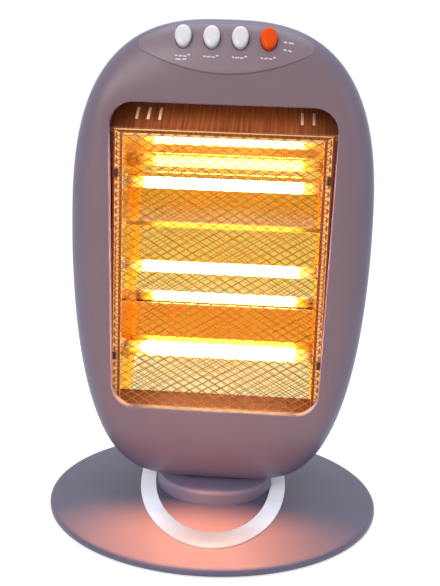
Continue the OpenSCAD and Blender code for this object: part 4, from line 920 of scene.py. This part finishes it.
# %% Base and collar
DECK_Z, BASE_BORE = 9.0, 30
COLLAR_R, COLLAR_Z, COLLAR_TOP, SHOULDER_R = 54.0, 21.5, 23.5, 3.5
deck = [(0, DECK_Z), (60, DECK_Z), (116, DECK_Z), (119, 8.95), (124, 8.72), (136, 8.1), (144.5, 7.66)]
rim = [(146.6, 7.45), (148.2, 7.0), (149.2, 6.3), (149.75, 5.4), (149.9, 4.5), (149.9, 2.6), (149.7, 2.0),
       (149.3, 1.6), (148.8, 1.5)]
underside = [(145.1, 1.5), (145.1, 5.2), (119, 6.7), (0, 6.7)]
base = raw_object("base_moulding", *lathe(deck + rim + underside, 256), ABS_BASE)
cut_with(base, raw_object("base_bore", *rod((0, AXIS_Y, 0), (0, AXIS_Y, 12), BASE_BORE, 64)))
settle(base, "base", ["base_plate"])

dome_top = [(10.3, 21.1), (10.3, COLLAR_TOP), (24, COLLAR_TOP), (29, 23.45), (31.5, 23.2), (36, 22.75),
            (44, 22.1)]
shoulder = [(COLLAR_R - SHOULDER_R * (1 - math.cos(a)), COLLAR_Z - SHOULDER_R * (1 - math.sin(a)))
            for a in np.linspace(0, math.radians(82), 9)]
skirt = [(COLLAR_R, 9.7), (COLLAR_R, DECK_Z), (51.6, DECK_Z), (51.6, 18), (48, 19.2), (29, 21.0)]
collar_profile = dome_top + shoulder[::-1] + skirt
collar = raw_object("collar_moulding", *lathe(collar_profile, 192, (0, AXIS_Y)), ABS_GREY)
settle(collar, "base", ["base_collar"])
print("base radius:", max(r for r, _ in rim), "| collar top:", COLLAR_TOP)

# %% [markdown]
# ## Trim band
# A thin white band lies on the deck in front of the collar: half an oval with two straight legs, turned a
# little to one side. A curve with a profile would keep one width, but the band is wider at its front, so
# its section is laid between an outer and an inner line. Where a leg would touch the collar it is pushed
# aside. A small bevel breaks its edges.

# %% Trim band
ARC_HALF, ARC_REACH, ARC_Y, ARC_LEG = 68.6, 146.0, 30.0, 24.0
ARC_BAND, ARC_EXTRA, ARC_TURN = 14.2, 12.4, math.radians(3.6)
BAND_TOP, BAND_EDGE, CLEAR_R = 10.6, 10.25, COLLAR_R + 0.3
BAND_SECTION = ((0, DECK_Z), (0, BAND_EDGE), (0.035, BAND_TOP), (0.965, BAND_TOP), (1, BAND_EDGE),
                (1, DECK_Z))


def arc_line(half, reach):
    bend = [(half * math.cos(a), ARC_Y + reach * math.sin(a)) for a in np.linspace(math.pi, 2 * math.pi, 72)]
    legs = [[(x, ARC_Y + ARC_LEG * k) for k in (1, 0.5)] for x in (-half, half)]
    return legs[0] + bend + legs[1][::-1]


def turned_flat(x, y, angle):
    """A point turned about the base's middle."""
    return x * math.cos(angle) - y * math.sin(angle), x * math.sin(angle) + y * math.cos(angle)


outer_line = arc_line(ARC_HALF, ARC_REACH)
inner_line = arc_line(ARC_HALF - ARC_BAND, ARC_REACH - ARC_BAND - ARC_EXTRA)
band_rings = []
for (ox, oy), (ix, iy) in zip(outer_line, inner_line):
    ring = []
    for share, z in BAND_SECTION:
        x, y = turned_flat(ox + (ix - ox) * share, oy + (iy - oy) * share, ARC_TURN)
        reach = math.hypot(x, y - AXIS_Y)
        if reach < CLEAR_R:
            x, y = x * CLEAR_R / reach, AXIS_Y + (y - AXIS_Y) * CLEAR_R / reach
        ring.append((x, y, z))
    band_rings.append(ring)
trim = raw_object("trim_band", *skin(band_rings, cap_first=True, cap_last=True), ABS_WHITE)
settle(trim, "base", ["trim_arc"])
print("trim band points:", len(trim.data.vertices))

# %% [markdown]
# ## Reflector
# The reflector is one folded sheet: a roof, two hoods over the upper lamp, and a ridge between each pair of
# lamps. The picture shows the lamps' mirror images in its flats as thin bright streaks, so each fold lies
# where the image of a lamp falls on the streak's row. A plain curved sheet would spread them. The folds are
# slightly rounded here, as bent sheet is, and the sheet gets its thickness by a second line beside the
# first.

# %% Reflector sheet
REFL_Y, ROOF_FRONT_Y, ROOF, FLOOR, REFL_HALF = 38.0, -17.1, 338.0, 100.0, 90.9
SHEET_T, FOLD_R, ACROSS_N = 0.8, 0.5, 9
LAMP_Y, LAMP_ZS = 8.6, (294.4, 218.8, 143.2)
RIDGE_ZS = ((LAMP_ZS[0] + LAMP_ZS[1]) / 2, (LAMP_ZS[1] + LAMP_ZS[2]) / 2)
# in front of the back plane, and height, from the roof to the foot
FOLDS = ((16, ROOF), (4.4, LAMP_ZS[0] + 23.8), (0.3, LAMP_ZS[0] + 6), (6, RIDGE_ZS[0] - 1),
         (0, RIDGE_ZS[0] - 6), (11.5, RIDGE_ZS[1] + 11.5), (5, RIDGE_ZS[1] - 2), (10.4, LAMP_ZS[2] - 2.2),
         (26, FLOOR))


def rounded_folds(line, radius, n=5):
    """Replaces each inner corner of a line by a short curve."""
    line = [np.array(p, float) for p in line]
    result = [line[0]]
    for before, corner, after in zip(line, line[1:], line[2:]):
        start = corner + (before - corner) * min(0.4, radius / np.linalg.norm(before - corner))
        end = corner + (after - corner) * min(0.4, radius / np.linalg.norm(after - corner))
        result += [(1 - t) ** 2 * start + 2 * t * (1 - t) * corner + t * t * end
                   for t in np.linspace(0, 1, n)]
    return result + [line[-1]]


def moved_out(line, d):
    """The line moved outwards by d, across its own direction."""
    line = np.array(line)
    along = np.gradient(line, axis=0)
    along /= np.linalg.norm(along, axis=1)[:, None]
    return line + d * np.stack([-along[:, 1], along[:, 0]], axis=1)


inside = rounded_folds([(ROOF_FRONT_Y, ROOF)] + [(REFL_Y - y, z) for y, z in FOLDS], FOLD_R)
section = list(inside) + list(moved_out(inside, SHEET_T)[::-1])
sheet_rings = [[(x, y, z) for y, z in section] for x in np.linspace(-REFL_HALF, REFL_HALF, ACROSS_N)]
sheet_points, sheet_faces = skin(sheet_rings)
n = len(section)
first_end = [(k, k + 1, n - 2 - k, n - 1 - k) for k in range(n // 2 - 1)]
last = (ACROSS_N - 1) * n
sheet_faces += first_end + [(last + b, last + a, last + d, last + c) for a, b, c, d in first_end]
reflector = raw_object("reflector_sheet", sheet_points, sheet_faces, GOLD_SHEET, sharp_deg=0.5)
settle(reflector, "head", ["reflector_back"])
print("reflector section points:", len(section))

# %% [markdown]
# ## Quartz tubes
# Each lamp is a quartz tube with a glowing coil, held at both ends in ceramic caps. A tube has an outer and
# an inner wall, because light bends at both, and rounded, drawn-in ends. It is turned about a line along X.

# %% Quartz tubes
TUBE_R, TUBE_WALL, TUBE_INNER_SHARE = 5.0, 0.95, 0.985
TUBE_END = ((-90, 3.2), (-89.6, 4.2), (-88.4, 4.85), (-86.5, TUBE_R))


def along_x(profile, y, z):
    """Turned shape about a line along X: (position, radius) pairs."""
    return [[(x, y + r * math.cos(a), z + r * math.sin(a)) for a in round_angles(40)] for x, r in profile]


tube_out = list(TUBE_END) + [(x, TUBE_R) for x in np.linspace(-80, 80, 17)]
tube_out += [(-x, r) for x, r in TUBE_END[::-1]]
tube_in = [(x * TUBE_INNER_SHARE, r - TUBE_WALL) for x, r in tube_out[::-1]]
for k, z in enumerate(LAMP_ZS):
    walls = along_x(tube_out, LAMP_Y, z) + along_x(tube_in, LAMP_Y, z)
    tube = raw_object(f"quartz_tube_{k + 1}", *skin(walls, loop=True), QUARTZ_GLOW)
    settle(tube, "head", [f"lamp_tube_{k + 1}"])
print("tubes at heights:", LAMP_ZS)

# %% [markdown]
# ## Building a Geometry Nodes tree
# What repeats, such as the coil's turns, the wires of the net and the crimps, is made by Geometry Nodes:
# the sizes stay inputs of the tree, and one tree serves several pieces. Two helpers open and close each
# tree in the same way. A third runs it on an empty mesh and keeps the result as a plain mesh.

# %% Geometry Nodes helpers
def open_tree(name, sizes):
    """A new tree whose inputs are the named sizes, in metres, or counts. Returns it and its input node."""
    tree = bpy.data.node_groups.new(name, "GeometryNodeTree")
    tree.interface.new_socket("Geometry", in_out="OUTPUT", socket_type="NodeSocketGeometry")
    for label, value in sizes.items():
        kind = "NodeSocketInt" if isinstance(value, int) else "NodeSocketFloat"
        tree.interface.new_socket(label, in_out="INPUT", socket_type=kind).default_value = value
    return tree, add(tree, "NodeGroupInput")


def close_tree(tree, shape, material):
    """Makes instances real, sets the material and leads to the output."""
    real = add(tree, "GeometryNodeRealizeInstances", {"Geometry": shape})
    paint = add(tree, "GeometryNodeSetMaterial", {"Geometry": real}, Material=material)
    add(tree, "NodeGroupOutput", {"Geometry": paint})
    return tree


def grow(name, tree, sizes, matrix):
    """Runs a tree and returns its result as a plain mesh object, placed by a matrix."""
    holder = bpy.data.objects.new(name, bpy.data.meshes.new(name))
    bpy.context.scene.collection.objects.link(holder)
    run = holder.modifiers.new("grow", "NODES")
    run.node_group = tree
    sockets = {s.name: s.identifier for s in tree.interface.items_tree if s.in_out == "INPUT"}
    for label, value in sizes.items():
        run[sockets[label]] = value
    result = bpy.data.meshes.new_from_object(holder.evaluated_get(bpy.context.evaluated_depsgraph_get()))
    holder.modifiers.clear()
    result.transform(matrix)
    result.name = name
    holder.data = result
    holder.data.shade_smooth()
    return holder


print("tree helpers ready: open_tree, close_tree, grow")

# %% [markdown]
# ## Wound coils
# The glowing part of a lamp is tungsten wire, wound to a helix of 1.4 mm pitch. A Screw modifier could wind
# it; a Spiral curve with a round section does the same with every size as an input. Its straight ends, the
# leads, run on to the caps.

# %% Coils and leads
COIL_SIZES = {"Length": 2 * GLOW_HALF_MM * MM, "Radius": 0.0013, "Pitch": 0.0014, "Wire": 0.0003}
LEAD_FROM, LEAD_TO, LEAD_R = 69.3, 90, 0.45


def coil_tree(name, sizes, material):
    tree, given = open_tree(name, sizes)
    length, radius = given.outputs["Length"], given.outputs["Radius"]
    windings = add(tree, "ShaderNodeMath", {0: length, 1: given.outputs["Pitch"]}, operation="DIVIDE")
    helix = add(tree, "GeometryNodeCurveSpiral",
                {"Rotations": windings, "Start Radius": radius, "End Radius": radius, "Height": length},
                Resolution=8)
    section = add(tree, "GeometryNodeCurvePrimitiveCircle", {"Radius": given.outputs["Wire"]}, Resolution=4)
    wire = add(tree, "GeometryNodeCurveToMesh", {"Curve": helix, "Profile Curve": section}, Fill_Caps=True)
    return close_tree(tree, wire, material)


wound_coil = coil_tree("wound_coil", COIL_SIZES, COIL_GLOW)
for k, z in enumerate(LAMP_ZS):
    left_end = Matrix.Translation((-GLOW_HALF_MM * MM, LAMP_Y * MM, z * MM))
    laid_down = Matrix.Rotation(math.pi / 2, 4, "Y")
    coil = grow(f"lamp_coil_wound_{k + 1}", wound_coil, COIL_SIZES, left_end @ laid_down)
    leads = [rod((side * LEAD_FROM, LAMP_Y, z), (side * LEAD_TO, LAMP_Y, z), LEAD_R, 10) for side in (-1, 1)]
    lead = raw_object(f"lamp_leads_{k + 1}", *join(leads), TURNED_STEEL)
    settle(coil, "head", [f"lamp_coil_{k + 1}"])
    settle(lead, "head")
print("coil faces each:", len(coil.data.polygons))

# %% [markdown]
# ## Guard net
# The net is drawn from thin steel wires that cross at a slant, so that its gaps are low diamonds 11.5 mm
# wide and 6.9 mm high. A plane with a pattern of holes would be quick, but its wires would be flat and
# cross without lying over each other, so the wires are real: one crossing is made once and laid on a grid
# of points. The CAD solid keeps coarser diamonds, because its faces cost more.

# %% Guard net
GUARD_LOW, GUARD_HIGH, GUARD_HALF, NET_Y = 91.0, 343.2, 94.0, -21.0
NET_SIZES = {"Width": 0.184, "Height": 0.2495, "Columns": 16, "Rows": 36, "Wire": 0.00035}
WIRE_APART = 0.00022                   # from the net's plane to each of two crossing wires, in metres


def net_tree(name, sizes, material):
    tree, given = open_tree(name, sizes)
    halves, spans = [], []
    for size, count in (("Width", "Columns"), ("Height", "Rows")):
        whole = given.outputs[size]
        cell = add(tree, "ShaderNodeMath", {0: whole, 1: given.outputs[count]}, operation="DIVIDE")
        spans.append(add(tree, "ShaderNodeMath", {0: whole, 1: cell}, operation="SUBTRACT"))
        halves.append(add(tree, "ShaderNodeMath", {0: cell}, operation="MULTIPLY", i1=0.5))
    section = add(tree, "GeometryNodeCurvePrimitiveCircle", {"Radius": given.outputs["Wire"]}, Resolution=6)
    left = add(tree, "ShaderNodeMath", {0: halves[0]}, operation="MULTIPLY", i1=-1.0)
    crossing = add(tree, "GeometryNodeJoinGeometry")
    for sign in (1, -1):
        low = add(tree, "ShaderNodeMath", {0: halves[1]}, operation="MULTIPLY", i1=-sign)
        high = add(tree, "ShaderNodeMath", {0: halves[1]}, operation="MULTIPLY", i1=sign)
        start = add(tree, "ShaderNodeCombineXYZ", {"X": left, "Y": low}, Z=WIRE_APART * sign)
        end = add(tree, "ShaderNodeCombineXYZ", {"X": halves[0], "Y": high}, Z=WIRE_APART * sign)
        line = add(tree, "GeometryNodeCurvePrimitiveLine", {"Start": start, "End": end})
        wire = add(tree, "GeometryNodeCurveToMesh", {"Curve": line, "Profile Curve": section})
        tree.links.new(wire.outputs["Mesh"], crossing.inputs["Geometry"])
    grid = add(tree, "GeometryNodeMeshGrid",
               {"Size X": spans[0], "Size Y": spans[1], "Vertices X": given.outputs["Columns"],
                "Vertices Y": given.outputs["Rows"]})
    laid = add(tree, "GeometryNodeInstanceOnPoints", {"Points": grid, "Instance": crossing})
    real = add(tree, "GeometryNodeRealizeInstances", {"Geometry": laid})
    welded = add(tree, "GeometryNodeMergeByDistance", {"Geometry": real}, Distance=0.00002)
    return close_tree(tree, welded, material)


net_middle = Matrix.Translation((0, NET_Y * MM, (GUARD_LOW + GUARD_HIGH) / 2 * MM))
net = grow("guard_net", net_tree("crossed_wires", NET_SIZES, GUARD_WIRE), NET_SIZES,
           net_middle @ Matrix.Rotation(math.pi / 2, 4, "X"))
settle(net, "head", ["guard_mesh"])
print("net faces:", len(net.data.polygons))

# %% [markdown]
# ## Guard frame
# The rail around the net is a strip with two rolled edges. On the side bars the heat has darkened both
# rolls, and the channel between them is pale: its colour is partly a painted glow of the lamps behind the
# net, which a warm light adds to. The end bars are browner.
# A bevelled curve would have one width all round, but the side bars are wider than the end bars, so both
# widths meet in the section that is laid on each mitred corner.

# %% Guard frame
SIDE_RAIL_W, END_RAIL_W = 8.5, 6.2
RAIL_BACK_Y, CHANNEL_Y, CHANNEL_FROM, CHANNEL_TO_EDGE = -19.15, -19.7, 2.4, 3.0
END_BARS_WITHIN = 50                   # faces whose middle is this near to x = 0 belong to an end bar


def rail_section(width):
    """Section across the rail: (distance from the outer edge, depth)."""
    turned = np.linspace(0, math.pi, 7)
    roll = [(1.0 - 0.8 * math.cos(a), -19.9 - 0.8 * math.sin(a)) for a in turned]
    lip = [(width - 1.3 - 1.3 * math.cos(a), -20.0 - 0.7 * math.sin(a)) for a in turned]
    channel = [(CHANNEL_FROM, CHANNEL_Y), (width - CHANNEL_TO_EDGE, CHANNEL_Y)]
    return roll + channel + lip + [(width, RAIL_BACK_Y), (0.2, RAIL_BACK_Y)]


def rail_ring(z, sx, sz):
    """The section laid on one mitred corner."""
    side, end = rail_section(SIDE_RAIL_W), rail_section(END_RAIL_W)
    return [(sx * (GUARD_HALF - a), y, z - sz * b) for (a, y), (b, _) in zip(side, end)]


corners = [rail_ring(GUARD_HIGH, 1, 1), rail_ring(GUARD_HIGH, -1, 1),
           rail_ring(GUARD_LOW, -1, -1), rail_ring(GUARD_LOW, 1, -1)]
frame_rail = raw_object("guard_rail_rolled", *skin(corners, loop=True), GUARD_RAIL, sharp_deg=50)
frame_rail.data.materials.append(RAIL_BACK)
frame_rail.data.materials.append(RAIL_ENDS)
for face in frame_rail.data.polygons:
    if face.center.y > (RAIL_BACK_Y - 0.15) * MM and abs(face.normal.y) > 0.9:
        face.material_index = 1
    elif abs(face.center.x) < END_BARS_WITHIN * MM:
        face.material_index = 2
settle(frame_rail, "head", ["guard_frame"])
print("rail faces:", len(frame_rail.data.polygons))

# %% [markdown]
# ## Crimped wire ends
# Along both side rails the wires' ends are crimped over the strip: a column of small brown beads. Each is
# so small that a stretched ball with few faces does. Geometry Nodes lay one bead on a line of points.

# %% Crimps
CRIMP_SIZES = {"Count": 34, "Pitch": 0.00725, "Bead Length": 0.0056, "Bead Radius": 0.0009}
CRIMP_X, CRIMP_Y, LOWEST_CRIMP_Z = 90.8, -20.5, 97.5
RIGHT_BEAD_RADIUS = 0.0008             # a little thinner, as in the picture


def bead_tree(name, sizes, material):
    tree, given = open_tree(name, sizes)
    gap = add(tree, "ShaderNodeCombineXYZ", {"Z": given.outputs["Pitch"]})
    line = add(tree, "GeometryNodeMeshLine", {"Count": given.outputs["Count"], "Offset": gap})
    length, radius = given.outputs["Bead Length"], given.outputs["Bead Radius"]
    ball = add(tree, "GeometryNodeMeshUVSphere", {"Radius": radius}, Segments=10, Rings=8)
    ratio = add(tree, "ShaderNodeMath", {0: length, 1: radius}, operation="DIVIDE")
    tall = add(tree, "ShaderNodeMath", {0: ratio}, operation="MULTIPLY", i1=0.5)
    shape = add(tree, "ShaderNodeCombineXYZ", {"Z": tall}, X=1.0, Y=0.7)
    laid = add(tree, "GeometryNodeInstanceOnPoints", {"Points": line, "Instance": ball, "Scale": shape})
    return close_tree(tree, laid, material)


crimp_column = bead_tree("crimp_column", CRIMP_SIZES, CRIMP_STEEL)
for side, label, radius in ((-1, "left", CRIMP_SIZES["Bead Radius"]), (1, "right", RIGHT_BEAD_RADIUS)):
    foot = Matrix.Translation((side * CRIMP_X * MM, CRIMP_Y * MM, LOWEST_CRIMP_Z * MM))
    beads = grow(f"guard_crimps_{label}", crimp_column, {**CRIMP_SIZES, "Bead Radius": radius}, foot)
    settle(beads, "head")
print("crimps on each side:", CRIMP_SIZES["Count"])

# %% [markdown]
# ## Cowl louvres
# The slots in the sloping cowl were lanced: the sheet was pushed up into a small tongue over each slot. The
# tongues are the brightest thing on the brown cowl: their pale colour is partly bare metal and partly a
# painted glint for the light seen through the slots. Displacing the cowl's sheet would need a very fine
# mesh, so each tongue is a small skin of its own that follows the slope.

# %% Louvre lips
COWL_SLOPE, COWL_FRONT_Y, COWL_FRONT_Z = math.radians(30), -18.9, 344
TONGUE_XS = (-76, -66, -56, 66, 76)
TONGUE_RISE = ((11.2, 0.3), (12.5, 1.2), (19, 1.5), (25.5, 1.2), (26.8, 0.3))    # along the slope, and height
tongues = []
for x in TONGUE_XS:
    ring = []
    for t, rise in TONGUE_RISE:
        y, z = COWL_FRONT_Y + t, COWL_FRONT_Z + t * math.tan(COWL_SLOPE)
        ring.append([(x - 1.3, y, z - 0.3), (x + 1.3, y, z - 0.3), (x + 1.0, y, z + rise * 0.5),
                     (x - 0.9, y, z + rise)])
    tongues.append(skin(ring, cap_first=True, cap_last=True))
louvres = raw_object("cowl_louvre_lips", *join(tongues), LANCED_EDGE)
settle(louvres, "head")
print("louvre lips:", len(tongues))

# %% [markdown]
# ## Finishes of the CAD pieces
# The remaining CAD solids, such as screws, sheets, holders and the motor, already have their real shape. A
# finer mesh would not show, so they only get their finish.

# %% Finishes by node
FINISH = {
    ABS_GREY: ["neck_skirt"],
    ABS_BLACK: ["base_cover", "switch_bank", "thermal_cutout", "tilt_switch", "cord_gland"],
    ZINC_SHEET: ["base_ballast", "chassis_plate", "slotted_arm", "switch_bracket", "lamp_holders",
                 "heat_shield"],
    TURNED_STEEL: ["swivel_spindle", "retaining_nut", "swing_motor"],
    SCREW_STEEL: ["cover_screws", "collar_screws", "spindle_screws", "neck_screws", "motor_screws",
                  "shell_screws", "reflector_screws"],
    RUBBER: ["rubber_feet"],
    NYLON_WHITE: ["thrust_washer", "crank_arm", "terminal_block"],
    COWL_SHEET: ["vent_cowl"],
    FLOOR_SHEET: ["reflector_floor"],
    CLIP_STEEL: ["guard_clips"],
    GOLD_SATIN: ["reflector_sides"],
    CERAMIC: ["lamp_caps"],
    SLEEVE: ["wiring"],
}
for material, names in FINISH.items():
    for name in names:
        data = bpy.data.objects[name].data
        data.materials.clear()
        data.materials.append(material)
print("CAD pieces finished:", sum(len(n) for n in FINISH.values()))

# %% [markdown]
# ## Floor and world
# A pale floor and an even, soft world light show colours about as they are written. More light would turn
# the background white but wash out the plastic, so the floor and the world are made white only for rays
# that come straight from the camera, from a mirror or through glass. The floor keeps the heater's shadow.

# %% Floor and world
FLOOR_HALF, FLOOR_LIFT = 3000, 0.62
WORLD_GREY, WORLD_LEVEL = (0.88, 0.92, 1.0, 1), 0.55
WHITE = (1, 1, 1, 1)


def straight_rays(tree):
    """1 for rays from the camera, from a mirror or through glass, else 0."""
    path = add(tree, "ShaderNodeLightPath").outputs
    clear = add(tree, "ShaderNodeMath", {0: path["Is Camera Ray"], 1: path["Is Transmission Ray"]},
                operation="MAXIMUM")
    return add(tree, "ShaderNodeMath", {0: clear, 1: path["Is Glossy Ray"]}, operation="MAXIMUM")


floor_corners = [(x * FLOOR_HALF, y * FLOOR_HALF, 0) for x, y in ((-1, -1), (1, -1), (1, 1), (-1, 1))]
FLOOR_PALE, floor_tree = new_material("floor_pale")
pale = add(floor_tree, "ShaderNodeBsdfDiffuse", Color=(0.76, 0.76, 0.77, 1))
lifted = add(floor_tree, "ShaderNodeEmission", Color=WHITE, Strength=FLOOR_LIFT)
seen = add(floor_tree, "ShaderNodeAddShader", {0: pale, 1: lifted})
shown = add(floor_tree, "ShaderNodeMixShader", {"Fac": straight_rays(floor_tree), 1: pale, 2: seen})
add(floor_tree, "ShaderNodeOutputMaterial", {"Surface": shown})
floor = raw_object("floor", floor_corners, [(0, 1, 2, 3)], FLOOR_PALE)

world = bpy.data.worlds.new("studio")
world.use_nodes = True
world_tree = world.node_tree
world_tree.nodes.clear()
bpy.context.scene.world = world
grey = add(world_tree, "ShaderNodeBackground", Color=WORLD_GREY, Strength=WORLD_LEVEL)
white = add(world_tree, "ShaderNodeBackground", Color=WHITE, Strength=1.0)
chosen = add(world_tree, "ShaderNodeMixShader", {"Fac": straight_rays(world_tree), 1: grey, 2: white})
add(world_tree, "ShaderNodeOutputWorld", {"Surface": chosen})
bpy.context.scene.view_settings.view_transform = "Standard"
print("floor half width in mm:", FLOOR_HALF)

# %% [markdown]
# ## Lights
# Three large soft lamps light the heater from the left, the right and above, and a smaller one lifts the
# white band and the collar. The glow of the real lamps on the base, the face, the window's lips, the rail
# and the cowl comes from small warm lights. The tubes' emission could give it alone, but separate lights can
# each be matched to the picture. Light linking lets the small ones reach only the pieces that they are meant
# for, and they don't show in a mirror.

# %% Lights
GLOW_WARM, GLOW_FACE, GLOW_LIP = (1.0, 0.37, 0.125), (1.0, 0.45, 0.25), (1.0, 0.5, 0.36)
GLOW_RAIL, GLOW_COWL = (1.0, 0.84, 0.42), (1.0, 0.72, 0.5)


def area_light(name, at_mm, towards_mm, size_mm, watts, colour, reaches=(), spread_deg=180):
    """A lamp with a rectangular face; with reaches, light linking keeps it to the objects named there."""
    data = bpy.data.lights.new(name, "AREA")
    data.shape = "RECTANGLE"
    data.size, data.size_y = size_mm[0] * MM, size_mm[1] * MM
    data.energy, data.color = watts, colour
    data.spread = math.radians(spread_deg)
    lamp = bpy.data.objects.new(name, data)
    bpy.context.scene.collection.objects.link(lamp)
    turn = (Vector(towards_mm) - Vector(at_mm)).to_track_quat("-Z", "Y").to_matrix().to_4x4()
    lamp.matrix_world = Matrix.Translation(Vector(at_mm) * MM) @ turn
    lamp.visible_camera = False
    if reaches:
        group = bpy.data.collections.new(name + "_reaches")
        for item in reaches:
            group.objects.link(bpy.data.objects[item])
        lamp.light_linking.receiver_collection = group
        lamp.visible_glossy = False


area_light("key_soft_left", (-700, -1300, 950), (0, 0, 220), (900, 900), 9.9, (1.0, 0.95, 0.93))
area_light("fill_right", (1100, -700, 700), (0, 0, 220), (900, 900), 1.6, (0.85, 0.9, 1.0))
area_light("top_soft", (0, 100, 1500), (0, 0, 0), (1200, 900), 8.6, (0.7, 0.82, 1.0))
area_light("low_fill_on_band", (-150, -600, 330), (0, -20, 10), (500, 200), 3.2, (0.96, 0.96, 1.0),
           ["trim_band", "collar_moulding"])
area_light("lamp_glow_on_base", (-6, -37, 122), (-6, -150, DECK_Z), (110, 40), 0.9, GLOW_WARM,
           ["base_moulding", "collar_moulding"], 110)
area_light("lamp_glow_on_face", (-20, -200, 60), (0, -30, 130), (120, 60), 0.07, GLOW_FACE,
           ["front_shell_skin", "control_panel_cover"], 140)
for side, label in ((-1, "left"), (1, "right")):
    area_light("lamp_glow_on_lip_" + label, (side * 74, -26, 222), (side * 94, -27, 222), (5, 230), 0.12,
               GLOW_LIP, ["front_shell_skin"])
area_light("lamp_glow_on_rail", (-10, -220, 230), (10, -20, 225), (240, 260), 0.42, GLOW_RAIL,
           ["guard_rail_rolled", "guard_crimps_left", "guard_crimps_right"])
area_light("lamp_glow_on_cowl", (0, -27, 360), (0, 6, 356), (150, 5), 0.03, GLOW_COWL,
           ["vent_cowl", "cowl_louvre_lips"])

# %% [markdown]
# ## Last update
# The view layer is updated once more, so that every piece stands at its place.

# %% Last update
bpy.context.view_layer.update()
